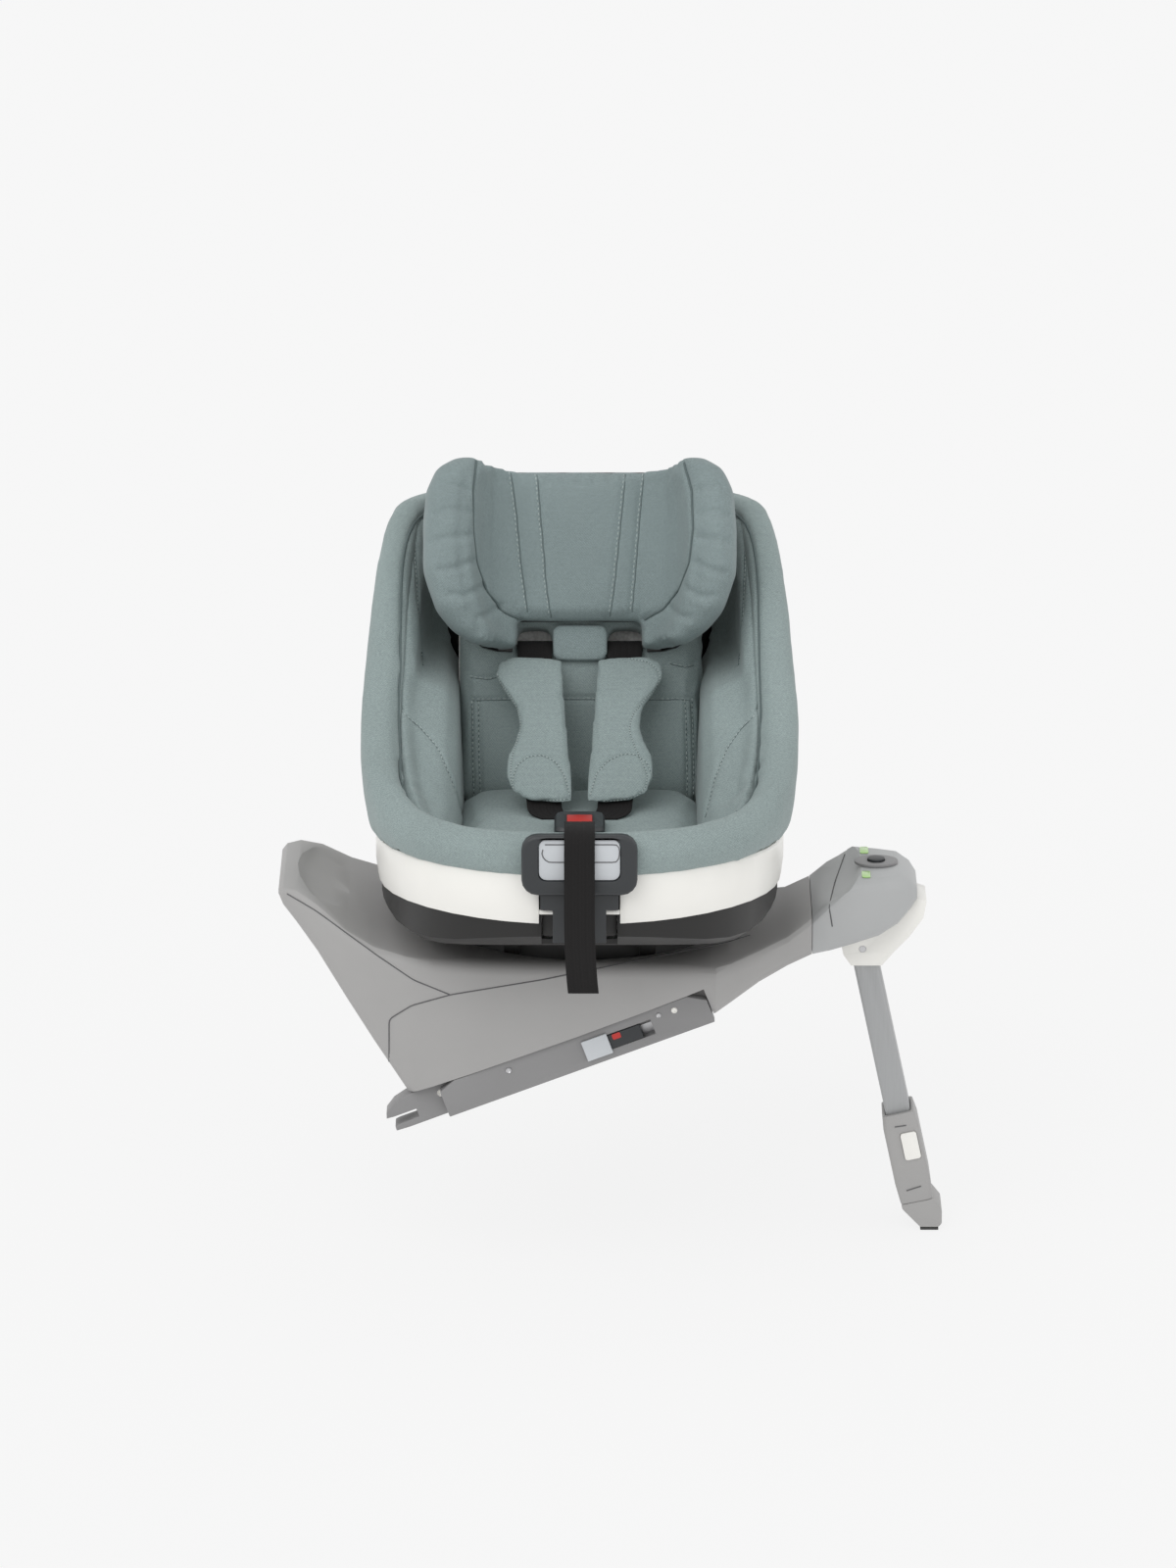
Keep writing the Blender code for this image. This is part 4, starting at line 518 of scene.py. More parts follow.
class Surface:
    """A finished surface that lines are laid on."""

    def __init__(self, piece: Piece) -> None:
        """Read the piece's mesh once."""
        mesh = bmesh.new()
        mesh.from_mesh(piece.data)
        self.tree = BVHTree.FromBMesh(mesh)
        mesh.free()

    def under_pixel(self, pixel: Pixel) -> tuple[Vector, Vector] | None:
        """Return the point and normal seen at a pixel of the photograph."""
        origin = camera_place()
        aim = Vector((0.0, VIEW_COSINE, -VIEW_SINE)) * VIEW_DISTANCE
        aim += Vector((1.0, 0.0, 0.0)) * (pixel[0] - PHOTO_CENTRE[0]) * PIXEL_SIZE
        aim += Vector((0.0, VIEW_SINE, VIEW_COSINE)) * (PHOTO_CENTRE[1] - pixel[1]) * PIXEL_SIZE
        place, normal, _, _ = self.tree.ray_cast(origin, aim.normalized())
        return None if place is None else (place, normal)

    def line(self, pixels: list[Pixel], step: float = 2.0) -> Line:
        """Lay a line of pixels on the surface.

        Args:
            pixels: Corners of the line in the photograph.
            step: Spacing of the points, in pixels.

        Returns:
            Points and normals along the line.
        """
        found = []
        for start, end in zip(pixels, pixels[1:]):
            count = max(1, round(math.dist(start, end) / step))
            for index in range(count):
                part = index / count
                across = start[0] + (end[0] - start[0]) * part
                hit = self.under_pixel((across, start[1] + (end[1] - start[1]) * part))
                if hit and (not found or (hit[0] - found[-1][0]).length < 0.03):
                    found.append(hit)
        return found

    def follow(self, line: Line, shift: tuple[float, float, float] = (0.0, 0.0, 0.0)) -> Line:
        """Lay a line on the surface again, moved by a shift."""
        found = []
        for point, _ in line:
            place, normal, _, _ = self.tree.find_nearest(point + Vector(shift))
            found.append((place, normal))
        return found


def even(points: Line, spacing: float, closed: bool = False) -> Line:
    """Space a line's points evenly after smoothing it.

    Args:
        points: Points and normals along the line.
        spacing: Distance between the new points.
        closed: Whether the line is a loop.

    Returns:
        The new points and normals.
    """
    places = [place.copy() for place, _ in points]
    for _ in range(3):
        smooth = places[:]
        for index in range(len(places)):
            if closed or 0 < index < len(places) - 1:
                after = places[(index + 1) % len(places)]
                smooth[index] = (places[index - 1] + places[index] * 2.0 + after) / 4.0
        places = smooth
    normals = [normal for _, normal in points]
    if closed:
        places.append(places[0].copy())
        normals.append(normals[0])
    result = []
    left = 0.0
    for index in range(len(places) - 1):
        run = places[index + 1] - places[index]
        length = run.length
        while left < length:
            part = left / length
            normal = normals[index].lerp(normals[index + 1], part).normalized()
            result.append((places[index] + run * part, normal))
            left += spacing
        left -= length
    return result


def carve(piece: Piece, line: Line, depth: float, width: float) -> None:
    """Press a soft groove into a padded piece along a line.

    Args:
        piece: The piece whose mesh is pressed in.
        line: Points and normals along the groove.
        depth: How deep the groove is.
        width: Its half width.
    """
    points = even(line, width / 2.0) if len(line) > 1 else []
    if not points:
        return
    tree = kdtree.KDTree(len(points))
    for index, (place, _) in enumerate(points):
        tree.insert(place, index)
    tree.balance()
    for vertex in piece.data.vertices:
        _, index, distance = tree.find(vertex.co)
        if distance < 3.0 * width:
            normal = points[index][1]
            vertex.co -= normal * depth * math.exp(-((distance / width) ** 2))


def stitches(name: str, line: Line, pitch: float = 0.0055) -> Piece | None:
    """Lay a row of sewn stitches along a line.

    Args:
        name: The piece's name.
        line: Points and normals along the seam.
        pitch: Length of one stitch and its gap.

    Returns:
        One object with all the stitches, or None without a line.
    """
    points = even(line, pitch) if line else []
    if len(points) < 2:
        return None
    mesh = bmesh.new()
    for (place, normal), (after, _) in zip(points, points[1:]):
        run = after - place
        if run.length < 1e-6 or run.length > 3.0 * pitch:
            continue
        run.normalize()
        side = run.cross(normal).normalized()
        turn = Matrix((run, side, side.cross(run))).transposed().to_4x4()
        size = Matrix.Diagonal((0.40 * pitch, *THREAD_HALF, 1.0))
        frame = Matrix.Translation(place + normal * THREAD_LIFT) @ turn @ size
        bmesh.ops.create_icosphere(mesh, subdivisions=1, radius=1.0, matrix=frame)
    return to_object(name, mesh, Finish.THREAD)


def cordlet(
    name: str,
    line: Line,
    radius: float,
    finish: Finish = Finish.PIPING,
    closed: bool = False,
    lift: float = 0.3,
) -> Piece | None:
    """Lay a round tube along a line, used for piping and for thin dark lines of painted shade.

    Args:
        name: The piece's name.
        line: Points and normals along the seam.
        radius: The piping's radius.
        finish: Its finish.
        closed: Whether it runs round in a loop.
        lift: Share of the radius by which it stands out of the surface.

    Returns:
        The piping, or None without a line.
    """
    points = even(line, 0.004, closed) if line else []
    if len(points) < 3:
        return None
    curve = bpy.data.curves.new(name + "_line", "CURVE")
    curve.dimensions = "3D"
    curve.bevel_depth = radius
    curve.bevel_resolution = 2
    curve.use_fill_caps = True
    spline = curve.splines.new("POLY")
    spline.points.add(len(points) - 1)
    for point, (place, normal) in zip(spline.points, points):
        point.co = (*(place + normal * radius * lift), 1.0)
    spline.use_cyclic_u = closed
    drawn = link(name + "_line", curve)
    graph = bpy.context.evaluated_depsgraph_get()
    data = bpy.data.meshes.new_from_object(drawn.evaluated_get(graph))
    bpy.data.objects.remove(drawn)
    data.name = name
    data.shade_smooth()
    return dress(link(name, data), finish)


@dataclass
class PadMaker:
    """Turns a plain cushion of the frame into stuffed fabric."""

    voxel: float = 0.0045
    inset: float = 0.0012
    cap: float = 0.005
    pressure: float = 4.0
    relax: int = 3
    wrinkle: float = 0.0005

    def gather(self, name: str, nodes: list[str], widen: dict[str, float] | None = None) -> Piece:
        """Copy the frame's solids into one object, drawn in a little.

        Args:
            name: The new piece's name.
            nodes: The nodes that it takes its form from.
            widen: Factor on a node's width about its own middle.

        Returns:
            The plain copy.
        """
        whole = bmesh.new()
        for node in nodes:
            part = bmesh.new()
            part.from_mesh(bpy.data.objects[node].data)
            bmesh.ops.remove_doubles(part, verts=part.verts, dist=0.00001)
            bmesh.ops.recalc_face_normals(part, faces=part.faces)
            for vertex in part.verts:
                vertex.co -= vertex.normal * self.inset
            factor = (widen or {}).get(node, 1.0)
            if factor != 1.0:
                middle = sum(vertex.co.x for vertex in part.verts) / len(part.verts)
                for vertex in part.verts:
                    vertex.co.x = middle + (vertex.co.x - middle) * factor
            data = bpy.data.meshes.new("part")
            part.to_mesh(data)
            part.free()
            whole.from_mesh(data)
            bpy.data.meshes.remove(data)
        return to_object(name, whole, Finish.LINING)

    def remesh(self, piece: Piece) -> None:
        """Give the copy even small faces and round its corners."""
        modifier = piece.modifiers.new("even_faces", "REMESH")
        modifier.mode = "VOXEL"
        modifier.voxel_size = self.voxel
        bake(piece)
        mesh = bmesh.new()
        mesh.from_mesh(piece.data)
        for _ in range(self.relax):
            axes = {"use_axis_x": True, "use_axis_y": True, "use_axis_z": True}
            bmesh.ops.smooth_vert(mesh, verts=mesh.verts, factor=0.5, **axes)
        mesh.to_mesh(piece.data)
        mesh.free()

    def inflate(self, piece: Piece) -> None:
        """Let cloth swell over its filling, then keep each point near its start."""
        before = [vertex.co.copy() for vertex in piece.data.vertices]
        cloth = piece.modifiers.new("swell", "CLOTH")
        cloth.settings.quality = 4
        cloth.settings.mass = 0.2
        cloth.settings.use_pressure = True
        cloth.settings.uniform_pressure_force = self.pressure
        cloth.settings.effector_weights.gravity = 0.0
        cloth.settings.shrink_min = -0.02
        cloth.collision_settings.use_collision = False
        cloth.point_cache.frame_start = 1
        cloth.point_cache.frame_end = 20
        for frame in range(1, 21):
            bpy.context.scene.frame_set(frame)
        bake(piece)
        bpy.context.scene.frame_set(1)
        for vertex, start in zip(piece.data.vertices, before):
            move = vertex.co - start
            if move.length > self.cap:
                vertex.co = start + move.normalized() * self.cap

    def refine(self, piece: Piece) -> None:
        """Subdivide once and add slight unevenness of stuffed fabric."""
        modifier = piece.modifiers.new("smooth", "SUBSURF")
        modifier.levels = 1
        modifier.render_levels = 1
        bake(piece)
        normals = [vertex.normal.copy() for vertex in piece.data.vertices]
        for vertex, normal in zip(piece.data.vertices, normals):
            spot = vertex.co * 26.0
            vertex.co += normal * self.wrinkle * (noise.noise(spot) + 0.5 * noise.noise(spot * 2.3))
        piece.data.shade_smooth()

    def make(
        self, name: str, nodes: list[str], finish: Finish, widen: dict[str, float] | None = None
    ) -> Piece:
        """Make the whole stuffed piece.

        Args:
            name: The piece's name.
            nodes: The frame's solids that it takes its form from.
            finish: Its cloth.
            widen: Factor on a node's width.

        Returns:
            The finished form, still without seams.
        """
        piece = self.gather(name, nodes, widen)
        self.remesh(piece)
        self.inflate(piece)
        self.refine(piece)
        dress(piece, finish)
        LOG.info("%s has %d faces", name, len(piece.data.polygons))
        return piece


@dataclass
class Webbing:
    """A flat strap along a line of points."""

    name: str
    points: list[Vector]
    across: Vector
    width: float
    thickness: float = 0.0013
    rows: int = 8

    def _smooth(self, step: float = 0.003) -> list[Vector]:
        """Return the strap's middle line, rounded at its bends."""
        line = [self.points[0]]
        for start, end in zip(self.points, self.points[1:]):
            count = max(1, round((end - start).length / step))
            line += [start.lerp(end, (index + 1) / count) for index in range(count)]
        for _ in range(10):
            inner = [(a + b * 2.0 + c) / 4.0 for a, b, c in zip(line, line[1:], line[2:])]
            line = [line[0], *inner, line[-1]]
        return line

    def build(self) -> Piece:
        """Bend a grid along the line, give it thickness and map its weave."""
        line = self._smooth()
        mesh = bmesh.new()
        bmesh.ops.create_grid(mesh, x_segments=self.rows, y_segments=len(line) - 1, size=0.5)
        uv = mesh.loops.layers.uv.new("band")
        lengths = [0.0]
        for start, end in zip(line, line[1:]):
            lengths.append(lengths[-1] + (end - start).length)
        places = {}
        for vertex in mesh.verts:
            index = round((vertex.co.y + 0.5) * (len(line) - 1))
            side = vertex.co.x * self.width
            places[vertex] = (side, lengths[index])
            vertex.co = line[index] + self.across.normalized() * side
        for face in mesh.faces:
            for loop in face.loops:
                loop[uv].uv = places[loop.vert]
        bmesh.ops.recalc_face_normals(mesh, faces=mesh.faces)
        made = to_object(self.name, mesh, Finish.WEBBING)
        thick = made.modifiers.new("thickness", "SOLIDIFY")
        thick.thickness = self.thickness
        thick.offset = 0.0
        edge = made.modifiers.new("edge", "BEVEL")
        edge.width = self.thickness * 0.35
        edge.segments = 2
        edge.limit_method = "ANGLE"
        bake(made)
        made.data.shade_smooth()
        return made


def settle(piece: Piece | None, body: str) -> None:
    """Let a piece ride on a body, if there is one."""
    if piece is not None:
        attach(piece, body)
        LOG.info("%s rides on %s", piece.name, body)


def present(pad: Piece, nodes: list[str], body: str) -> Surface:
    """Put a padded piece in its nodes' place.

    Args:
        pad: The piece.
        nodes: The frame's nodes that it replaces.
        body: The body that it rides on.

    Returns:
        The piece's surface, for its seams.
    """
    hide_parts(*nodes)
    settle(pad, body)
    return Surface(pad)


@dataclass
class Headrest:
    """The headrest's cover, its seams and the tab below."""

    maker: PadMaker
    centre_width: float = 1.06
    tab_width: float = 1.12
    seam_depth: float = 0.0022
    seam_width: float = 0.0028
    seam_gap: float = 0.0022

    WING_SEAMS = {
        "left": [(487, 470), (484, 500), (484, 540), (488, 575), (498, 603), (515, 624), (538, 636)],
        "right": [(697, 472), (705, 500), (706, 540), (702, 575), (692, 601), (676, 621), (654, 634)],
    }
    CREASES = [
        [(478, 500), (462, 492), (448, 494)], [(480, 522), (460, 518), (441, 524)],
        [(481, 546), (462, 548), (439, 552)], [(485, 572), (465, 580), (444, 582)],
        [(495, 598), (475, 608), (458, 606)], [(512, 618), (497, 628), (487, 630)],
        [(712, 500), (727, 492), (741, 495)], [(713, 524), (730, 520), (746, 526)],
        [(713, 548), (730, 550), (747, 554)], [(709, 574), (727, 582), (743, 586)],
        [(699, 600), (716, 609), (730, 608)], [(682, 620), (696, 630), (706, 630)],
        [(560, 482), (561, 492)], [(575, 483), (575, 494)], [(592, 484), (592, 496)],
        [(608, 484), (607, 494)], [(622, 483), (621, 492)],
    ]
    PANEL_SEAMS = {
        "left_outer": [(519, 476), (525, 520), (530, 575), (537, 628)],
        "left_inner": [(546, 480), (551, 540), (556, 600), (561, 634)],
        "right_inner": [(637, 480), (631, 540), (625, 600), (620, 634)],
        "right_outer": [(656, 476), (651, 530), (647, 580), (643, 628)],
    }

    def build(self) -> None:
        """Build and place the headrest's soft pieces."""
        nodes = ["headrest_pad", "headrest_wing_left", "headrest_wing_right"]
        cover = self.maker.make("headrest_cover", nodes, Finish.HEAD, {"headrest_pad": self.centre_width})
        surface = Surface(cover)
        wing_lines = {side: surface.line(pixels) for side, pixels in self.WING_SEAMS.items()}
        panel_lines = {side: surface.line(pixels) for side, pixels in self.PANEL_SEAMS.items()}
        for line in wing_lines.values():
            carve(cover, line, self.seam_depth, self.seam_width)
        for line in panel_lines.values():
            carve(cover, line, 0.7 * self.seam_depth, self.seam_width)
        for pixels in self.CREASES:
            carve(cover, surface.line(pixels), 0.0026, 0.0042)
        pressed = present(cover, nodes, "headrest")
        for side, line in wing_lines.items():
            # The piping's dark cloth paints the shade along the wing seams.
            settle(cordlet(f"headrest_piping_{side}", pressed.follow(line), 0.0013), "headrest")
        for side, line in panel_lines.items():
            down = pressed.follow(line)
            settle(stitches(f"headrest_stitches_{side}", down), "headrest")
            # A thin dark line beside the stitches: painted shade in the seam's groove.
            beside = pressed.follow(down, (self.seam_gap, 0.0, 0.0))
            settle(cordlet(f"headrest_seam_{side}", beside, 0.0006, lift=0.1), "headrest")
        small = PadMaker(voxel=0.0022, inset=0.0004, cap=0.001)
        widen = {"neck_tab": self.tab_width}
        tab = small.make("neck_tab_cover", ["neck_tab"], Finish.HEAD, widen)
        present(tab, ["neck_tab"], "headrest")


@dataclass
class Cushions:
    """Seat cushion, back pad and side bolsters."""

    maker: PadMaker
    seam_gap: float = 0.0022

    SEAMS = {
        "back_pad": [
            [(482, 714), (540, 712), (650, 712), (706, 713)],
            [(481, 716), (482, 780), (484, 850)],
            [(488, 716), (489, 780), (491, 850)],
            [(707, 714), (709, 780), (708, 850)],
            [(700, 714), (702, 780), (701, 850)],
            [(480, 690), (500, 692), (512, 688)],
            [(684, 676), (700, 680), (712, 676)],
        ],
        "bolster_left": [
            [(388, 712), (407, 722), (430, 742), (447, 762), (462, 795), (474, 836)],
            [(424, 560), (428, 620), (432, 680)],
        ],
        "bolster_right": [
            [(795, 712), (776, 722), (756, 742), (742, 762), (728, 795), (718, 836)],
            [(760, 560), (757, 620), (753, 680)],
        ],
        "seat_cushion": [],
    }

    def build(self) -> None:
        """Build and place the cushions with their seams."""
        for node, seams in self.SEAMS.items():
            pad = self.maker.make(node + "_cover", [node], Finish.LINING)
            surface = Surface(pad)
            lines = [surface.line(pixels) for pixels in seams]
            for line in lines:
                carve(pad, line, 0.002, 0.003)
            pressed = present(pad, [node], "shell")
            for index, line in enumerate(lines):
                down = pressed.follow(line)
                settle(stitches(f"{node}_stitches_{index}", down), "shell")
                # A thin dark line beside the stitches: painted shade in the seam's groove.
                beside = pressed.follow(down, (0.0, 0.0, -self.seam_gap))
                settle(cordlet(f"{node}_seam_{index}", beside, 0.0005, lift=0.1), "shell")


@dataclass
class RimCover:
    """The padded sleeve round the tub's edge."""

    maker: PadMaker
    stations: int = 120
    below_top: float = 0.013

    def _ring(self, surface: Surface, cover: Piece) -> Line:
        """Find the seam line on the inner side of the roll."""
        tops = [-1.0] * self.stations
        for vertex in cover.data.vertices:
            angle = math.atan2(vertex.co.y, vertex.co.x - SEAT_X) % math.tau
            index = int(angle / math.tau * self.stations) % self.stations
            tops[index] = max(tops[index], vertex.co.z)
        found = []
        for index, top in enumerate(tops):
            angle = (index + 0.5) / self.stations * math.tau
            aim = Vector((math.cos(angle), math.sin(angle), 0.0))
            origin = Vector((SEAT_X, 0.0, top - self.below_top))
            place, normal, _, _ = surface.tree.ray_cast(origin, aim)
            if place is not None:
                found.append((place, normal))
        return found

    def build(self) -> None:
        """Build the sleeve with its seam and piping."""
        # The sleeve's lighter cloth is painted light on the front-facing rim.
        cover = self.maker.make("rim_sleeve", ["rim_cover"], Finish.COVER)
        ring = self._ring(Surface(cover), cover)
        loop = ring + ring[:1]
        carve(cover, loop, 0.0016, 0.0026)
        down = present(cover, ["rim_cover"], "shell").follow(ring)
        # The piping's dark cloth paints the shade along the rim's seam.
        settle(cordlet("rim_piping", down, 0.0012, closed=True), "shell")


@dataclass
class Harness:
    """Webbing and chest pads of the harness."""

    strap_width: float = 0.036
    lap_width: float = 0.0252
    crotch_width: float = 0.030
    pull_width: float = 0.031
    strap_offset: float = 0.047
    tongue_side: float = 0.0205

    LOBES = {
        "left": [
            (522, 812), (522, 795), (528, 780), (540, 771), (554, 770), (567, 777), (577, 792), (583, 816),
        ],
        "right": [
            (666, 806), (666, 790), (660, 777), (648, 769), (635, 769), (620, 776), (608, 790), (600, 816),
        ],
    }

    EDGES = {
        "left": [
            (560, 668), (530, 669), (517, 670), (509, 675), (506, 685), (509, 696), (518, 707), (526, 720),
            (531, 734), (530, 748), (525, 762), (521, 777), (521, 795), (524, 807), (532, 815), (546, 818),
            (565, 817), (582, 815),
        ],
        "right": [
            (618, 671), (640, 671), (661, 675), (672, 684), (674, 692), (669, 704), (656, 716), (645, 730),
            (642, 745), (647, 760), (654, 775), (661, 790), (659, 804), (650, 813), (631, 818), (604, 818),
        ],
    }

    def chest_pads(self) -> None:
        """Build both chest pads with their stitched edges and lobes."""
        maker = PadMaker(voxel=0.0026, inset=0.0005, cap=0.0016, wrinkle=0.0002)
        for side, lobe in self.LOBES.items():
            node = f"chest_pad_{side}"
            pad = maker.make(node + "_cover", [node], Finish.LINING)
            surface = Surface(pad)
            line = surface.line(lobe)
            edge = surface.line(self.EDGES[side])
            carve(pad, line, 0.0014, 0.0022)
            carve(pad, edge, 0.0008, 0.0016)
            pressed = present(pad, [node], "headrest")
            for kind, seam, pitch in (("lobe", line, 0.0042), ("edge", edge, 0.0036)):
                down = pressed.follow(seam)
                settle(stitches(f"chest_{kind}_stitches_{side}", down, pitch), "headrest")
                # A thin dark line under the stitches: painted shade in the stitched groove.
                settle(cordlet(f"chest_{kind}_seam_{side}", down, 0.0004, lift=0.2), "headrest")

    def _strap(self, name: str, node: str, points: list[Vector], width: float, across: Vector) -> Piece:
        """Bend one strap in a node's place.

        Args:
            name: The strap's name.
            node: The node that it replaces.
            points: Its middle line.
            width: Its width.
            across: The direction of its width.

        Returns:
            The strap, still without a body.
        """
        strap = Webbing(name, points, across, width).build()
        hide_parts(node)
        return strap

    def straps(self) -> None:
        """Build all the webbing."""
        for side, sign in (("left", -1.0), ("right", 1.0)):
            node = f"shoulder_strap_{side}"
            low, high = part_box(node)
            top = back_point(sign * self.strap_offset, 0.132, 0.014)
            foot = Vector((SEAT_X + sign * 0.036, -0.066, 0.2975))
            points = [
                back_point(sign * self.strap_offset, 0.150, -0.029),
                back_point(sign * self.strap_offset, 0.150, 0.0035),
                top,
                foot,
                Vector((SEAT_X + sign * self.tongue_side, -0.078, 0.2952)),
            ]
            strap = self._strap(f"shoulder_webbing_{side}", node, points, self.strap_width, SIDEWAYS)
            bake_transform(strap, "shell", "headrest", start=(SEAT_X, low.y, low.z), end=tuple(top))
            node = f"lap_strap_{side}"
            lap_low, lap_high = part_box(node)
            z = (lap_low.z + lap_high.z) / 2.0
            points = [
                Vector((SEAT_X + sign * 0.062, 0.030, z)),
                Vector((SEAT_X + sign * 0.045, -0.010, z)),
                Vector((SEAT_X + sign * 0.029, -0.050, z + 0.001)),
                Vector((SEAT_X + sign * 0.022, -0.067, z + 0.0016)),
            ]
            run = points[-1] - points[0]
            across = Vector((-run.y, run.x, 0.0))
            settle(self._strap(f"lap_webbing_{side}", node, points, self.lap_width, across), "shell")
        low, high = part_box("crotch_strap")
        inside = 0.0008
        heights = ((high.y, high.z - inside), (-0.165, 0.2922), (-0.185, 0.2895), (low.y, low.z + inside))
        points = [Vector((SEAT_X, y, z)) for y, z in heights]
        strap = self._strap("crotch_webbing", "crotch_strap", points, self.crotch_width, SIDEWAYS)
        settle(strap, "shell")

    def pull_strap(self) -> None:
        """Build the pull strap that hangs over the front rim."""
        shares = (
            (0.0, -0.254, 0.334), (0.0, -0.258, 0.346), (0.0, -0.270, 0.353), (0.0, -0.300, 0.3535),
            (0.0, -0.3097, 0.3468), (0.0, -0.3125, 0.330), (0.0, -0.320, 0.295), (0.0, -0.331, 0.260),
            (0.001, -0.344, 0.230), (0.003, -0.354, 0.206), (0.004, -0.355, 0.1975),
        )
        points = [Vector((SEAT_X + side, y, z)) for side, y, z in shares]
        strap = self._strap("pull_webbing", "pull_strap", points, self.pull_width, SIDEWAYS)
        settle(strap, "shell")

    def build(self) -> None:
        """Build and place the harness."""
        self.chest_pads()
        self.straps()
        self.pull_strap()


@dataclass
class Moulding:
    """A hard node with eased edges and even shading."""

    ease: float = 0.0009
    sharp: float = math.radians(32.0)

    def make(self, node: str, finish: Finish) -> Piece:
        """Copy a node, ease its edges and put the copy in its place.

        Args:
            node: The frame's hard node.
            finish: The copy's finish.

        Returns:
            The finer copy.
        """
        source = bpy.data.objects[node]
        mesh = bmesh.new()
        mesh.from_mesh(source.data)
        bmesh.ops.remove_doubles(mesh, verts=mesh.verts, dist=0.00001)
        bmesh.ops.dissolve_limit(mesh, angle_limit=math.radians(0.5), verts=mesh.verts, edges=mesh.edges)
        made = to_object(node + "_moulding", mesh, finish)
        edges = made.modifiers.new("eased_edges", "BEVEL")
        edges.width = self.ease
        edges.segments = 2
        edges.limit_method = "ANGLE"
        edges.angle_limit = self.sharp
        bake(made)
        made.data.shade_smooth()
        made.data.set_sharp_from_angle(angle=self.sharp)
        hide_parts(node)
        settle(made, body_of(source)[0])
        return made


@dataclass
class HardParts:
    """Finishes of the frame's hard pieces."""

    FINISHES = {
        Finish.TUB: ("seat_shell", "latch_housing", "headrest_shell", "seat_carrier"),
        Finish.CHARCOAL: (
            "adjuster_bezel", "recline_lever", "buckle", "headrest_carrier", "turn_button", "turn_ring",
            "slider_near", "slider_far",
        ),
        Finish.WHITE: ("trim_band", "leg_bracket", "leg_release_key", "lever_pin"),
        Finish.PALE: ("adjuster_panel", "slider_near_thumb", "slider_far_thumb"),
        Finish.BASE: ("base_housing", "foot_housing", "foot_block"),
        Finish.NOSE: ("nose_cover",),
        Finish.BASE_DARK: (
            "base_trim_near", "base_trim_far", "base_underpan", "nose_panel", "anchor_jaw_near",
            "anchor_jaw_far",
        ),
        Finish.LEG: ("leg_tube", "leg_inner_tube"),
        Finish.STEEL: ("anchor_frame", "leg_pin", "tongue_left", "tongue_right"),
        Finish.FOAM: ("foam_liner", "back_foam"),
        Finish.RED: ("buckle_button",),
        Finish.GREEN: ("status_window_near", "status_window_far"),
        Finish.RUBBER: ("foot_sole", "grip_strip_low", "grip_strip_high"),
    }
    EASES = {
        "base_housing": 0.0025, "nose_cover": 0.002, "foot_housing": 0.0015, "foot_block": 0.0015,
        "base_trim_near": 0.0012, "base_trim_far": 0.0012, "adjuster_bezel": 0.0016, "buckle": 0.0012,
        "leg_bracket": 0.0014, "leg_tube": 0.0014, "trim_band": 0.0007, "adjuster_panel": 0.0008,
        "recline_lever": 0.0012,
    }
    AS_THEY_ARE = (
        "foam_liner", "back_foam", "anchor_frame", "base_underpan", "leg_inner_tube", "leg_pin",
        "grip_strip_low", "grip_strip_high",
    )

    def build(self) -> dict[str, Piece]:
        """Dress every hard node and return the visible pieces by node."""
        shown = {}
        for finish, names in self.FINISHES.items():
            for name in names:
                if name in self.AS_THEY_ARE:
                    shown[name] = dress(bpy.data.objects[name], finish)
                else:
                    shown[name] = Moulding(self.EASES.get(name, 0.0006)).make(name, finish)
                LOG.info("%s is dressed in %s", name, finish.value.name)
        return shown


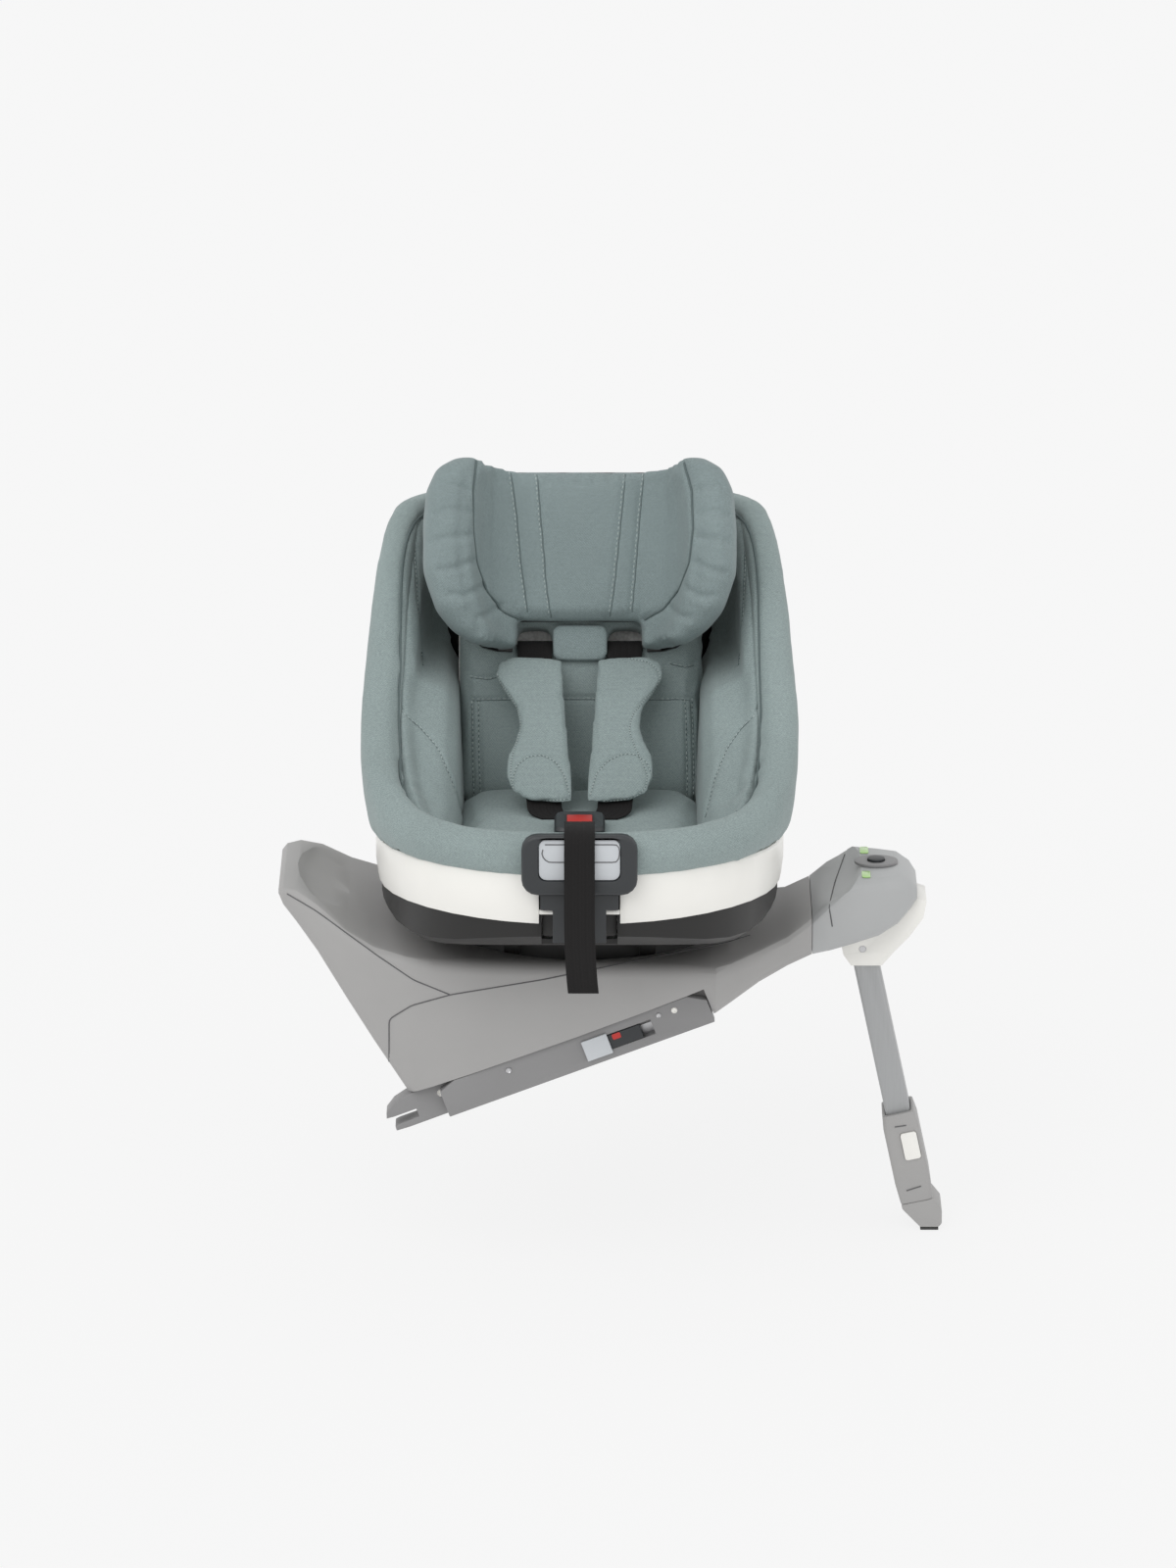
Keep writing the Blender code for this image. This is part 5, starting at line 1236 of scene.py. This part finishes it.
@dataclass
class SmallParts:
    """Painted shade lines along the panel gaps, screws and marks on the hard pieces."""

    shown: dict[str, Piece]

    # Panel gaps, as pixel corners, that get a thin dark line of painted shade.
    SEAMS = {
        "base_housing": [
            [(293, 912), (322, 929), (356, 954), (385, 975), (422, 1000), (464, 1017)],
            [
                (397, 1083), (397, 1040), (420, 1026), (460, 1015), (552, 1000), (677, 975), (740, 962),
                (770, 953),
            ],
        ],
        "nose_cover": [[(862, 872), (852, 900), (846, 925), (850, 950)]],
        "foot_housing": [[(913, 1150), (927, 1148)], [(925, 1215), (944, 1209)]],
    }
    GRIP = [(556, 862), (632, 862), (636, 872), (630, 880), (558, 880), (552, 872), (556, 862)]
    STUDS = {
        "base_trim_near": [
            ((519, 1092), 0.0034, Finish.STEEL),
            ((672, 1036), 0.0030, Finish.STEEL),
            ((688, 1031), 0.0034, Finish.WHITE),
        ],
        "anchor_jaw_near": [((450, 1115), 0.0042, Finish.WHITE)],
    }

    def stud(self, name: str, pixel: Pixel, radius: float, finish: Finish, node: str, body: str) -> None:
        """Set a small round screw with a recess where a pixel shows it."""
        hit = Surface(self.shown[node]).under_pixel(pixel)
        if hit is None:
            return
        place, normal = hit
        turn = normal.to_track_quat("Z", "Y").to_matrix().to_4x4()
        mesh = bmesh.new()
        size = {"radius1": radius, "radius2": 0.82 * radius, "depth": 0.5 * radius}
        bmesh.ops.create_cone(mesh, cap_ends=True, segments=24, **size)
        top = max(mesh.faces, key=lambda face: face.calc_center_median().z)
        bmesh.ops.inset_region(mesh, faces=[top], thickness=0.38 * radius)
        bmesh.ops.translate(mesh, vec=(0.0, 0.0, -0.3 * radius), verts=top.verts)
        frame = Matrix.Translation(place + normal * 0.15 * radius) @ turn
        bmesh.ops.transform(mesh, matrix=frame, verts=mesh.verts)
        made = to_object(name, mesh, finish)
        made.data.set_sharp_from_angle(angle=math.radians(30.0))
        settle(made, body)

    def mark(self) -> None:
        """Set the red lock mark into the near slider."""
        hit = Surface(self.shown["slider_near"]).under_pixel((629, 1057))
        if hit is None:
            return
        place, normal = hit
        turn = normal.to_track_quat("Z", "X").to_matrix().to_4x4()
        turn = turn @ Matrix.Rotation(math.radians(20.75), 4, "Z")
        mesh = bmesh.new()
        bmesh.ops.create_cube(mesh, size=1.0, matrix=Matrix.Diagonal((0.006, 0.009, 0.0006, 1.0)))
        corners = [edge for edge in mesh.edges if abs(edge.verts[0].co.z - edge.verts[1].co.z) > 0.0001]
        rounding = {"offset": 0.0014, "segments": 3, "affect": "EDGES", "profile": 0.5, "material": -1}
        bmesh.ops.bevel(mesh, geom=corners, **rounding)
        bmesh.ops.transform(mesh, matrix=Matrix.Translation(place + normal * 0.0002) @ turn, verts=mesh.verts)
        made = to_object("slider_lock_mark", mesh, Finish.RED, smooth=False)
        settle(made, "slider_near")

    def build(self) -> None:
        """Lay the painted shade lines of the panel gaps and set the small parts."""
        for node, seams in self.SEAMS.items():
            surface = Surface(self.shown[node])
            body = "leg_inner" if node == "foot_housing" else "base"
            for index, pixels in enumerate(seams):
                seam = surface.line(pixels)
                # A thin dark line along the gap: painted shade.
                settle(cordlet(f"{node}_seam_{index}", seam, 0.0007, Finish.SEAM, lift=0.1), body)
        for node, studs in self.STUDS.items():
            body = "anchor" if node.startswith("anchor") else "base"
            for index, (pixel, radius, finish) in enumerate(studs):
                self.stud(f"{node}_screw_{index}", pixel, radius, finish, node, body)
        self.mark()
        # A thin dark line round the grip: painted shade of its groove.
        grip = Surface(self.shown["adjuster_panel"]).line(self.GRIP)
        settle(cordlet("adjuster_panel_groove_shade", grip, 0.0006, Finish.SEAM, lift=0.1), "adjuster_panel")


@dataclass
class Studio:
    """Plain pale floor, soft light and the camera."""

    floor_z: float = -0.1724
    pale: float = 0.93
    floor_shade: float = 0.10
    sky: float = 0.72
    key: float = 0.95
    fill: float = 0.25

    def floor(self) -> None:
        """Lay the pale floor."""
        mesh = bmesh.new()
        bmesh.ops.create_grid(mesh, x_segments=1, y_segments=1, size=40.0)
        bmesh.ops.translate(mesh, vec=(0.0, 0.0, self.floor_z), verts=mesh.verts)
        data = bpy.data.meshes.new("studio_floor")
        mesh.to_mesh(data)
        mesh.free()
        made = link("studio_floor", data)
        w, shader = open_material("studio_floor_paint")
        lit = self.floor_shade
        own = self.pale - lit
        w.plain(shader, Base_Color=(lit, lit, lit, 1.0), Emission_Color=(own, own, own, 1.0))
        w.plain(shader, Emission_Strength=1.0, Roughness=1.0, Specular_IOR_Level=0.0)
        data.materials.append(bpy.data.materials["studio_floor_paint"])

    def world(self) -> None:
        """Light from all round, with a pale background."""
        world = bpy.data.worlds.new("studio_light")
        bpy.context.scene.world = world
        world.use_nodes = True
        w = NodeWriter(world.node_tree)
        world.node_tree.nodes.clear()
        path = w.add("LightPath")
        through = path.outputs["Is Transmission Ray"]
        seen = w.math("MAXIMUM", path.outputs["Is Glossy Ray"], through)
        seen = w.math("MAXIMUM", path.outputs["Is Camera Ray"], seen)
        light = w.add("Background", Color=(1.0, 1.0, 1.0, 1.0), Strength=self.sky)
        shown = w.add("Background", Color=(self.pale, self.pale, self.pale, 1.0), Strength=1.0)
        both = w.add("MixShader", _0=seen, _1=light.outputs[0], _2=shown.outputs[0])
        w.add("OutputWorld", Surface=both.outputs[0])

    def lamp(self, name: str, strength: float, place: tuple[float, float, float], softness: float) -> None:
        """Add one soft distant lamp that shines from a place to the seat."""
        data = bpy.data.lights.new(name, "SUN")
        data.energy = strength
        data.angle = math.radians(softness)
        made = link(name, data)
        made.rotation_euler = (-Vector(place)).to_track_quat("-Z", "Y").to_euler()
        made.location = Vector(place)

    def camera(self) -> None:
        """Stand the camera at the photograph's angle."""
        data = bpy.data.cameras.new("photo_camera")
        data.sensor_fit = "VERTICAL"
        data.sensor_height = 36.0
        data.lens = 36.0 * VIEW_DISTANCE / (1600.0 * PIXEL_SIZE)
        data.clip_end = 100.0
        made = link("photo_camera", data)
        made.location = camera_place()
        made.rotation_euler = Vector((0.0, VIEW_COSINE, -VIEW_SINE)).to_track_quat("-Z", "Y").to_euler()
        bpy.context.scene.camera = made

    def build(self) -> None:
        """Set the whole studio up."""
        self.floor()
        self.world()
        self.lamp("key_lamp", self.key, (-1.6, -2.4, 3.2), 50.0)
        self.lamp("fill_lamp", self.fill, (2.4, -1.8, 1.8), 70.0)
        self.camera()
        bpy.context.scene.view_settings.view_transform = "Standard"


def main() -> None:
    """Build the looks of the seat piece by piece."""
    logging.basicConfig(level=logging.INFO, format="%(message)s")
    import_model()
    Studio().build()
    shown = HardParts().build()
    SmallParts(shown).build()
    Headrest(PadMaker(voxel=0.0045, inset=-0.0018, cap=0.004)).build()
    Cushions(PadMaker(voxel=0.005, inset=-0.0038, cap=0.005)).build()
    RimCover(PadMaker(voxel=0.0055, inset=-0.0018, cap=0.003, relax=2)).build()
    Harness().build()
    LOG.info("the seat is complete")


if __name__ == "__main__":
    main()
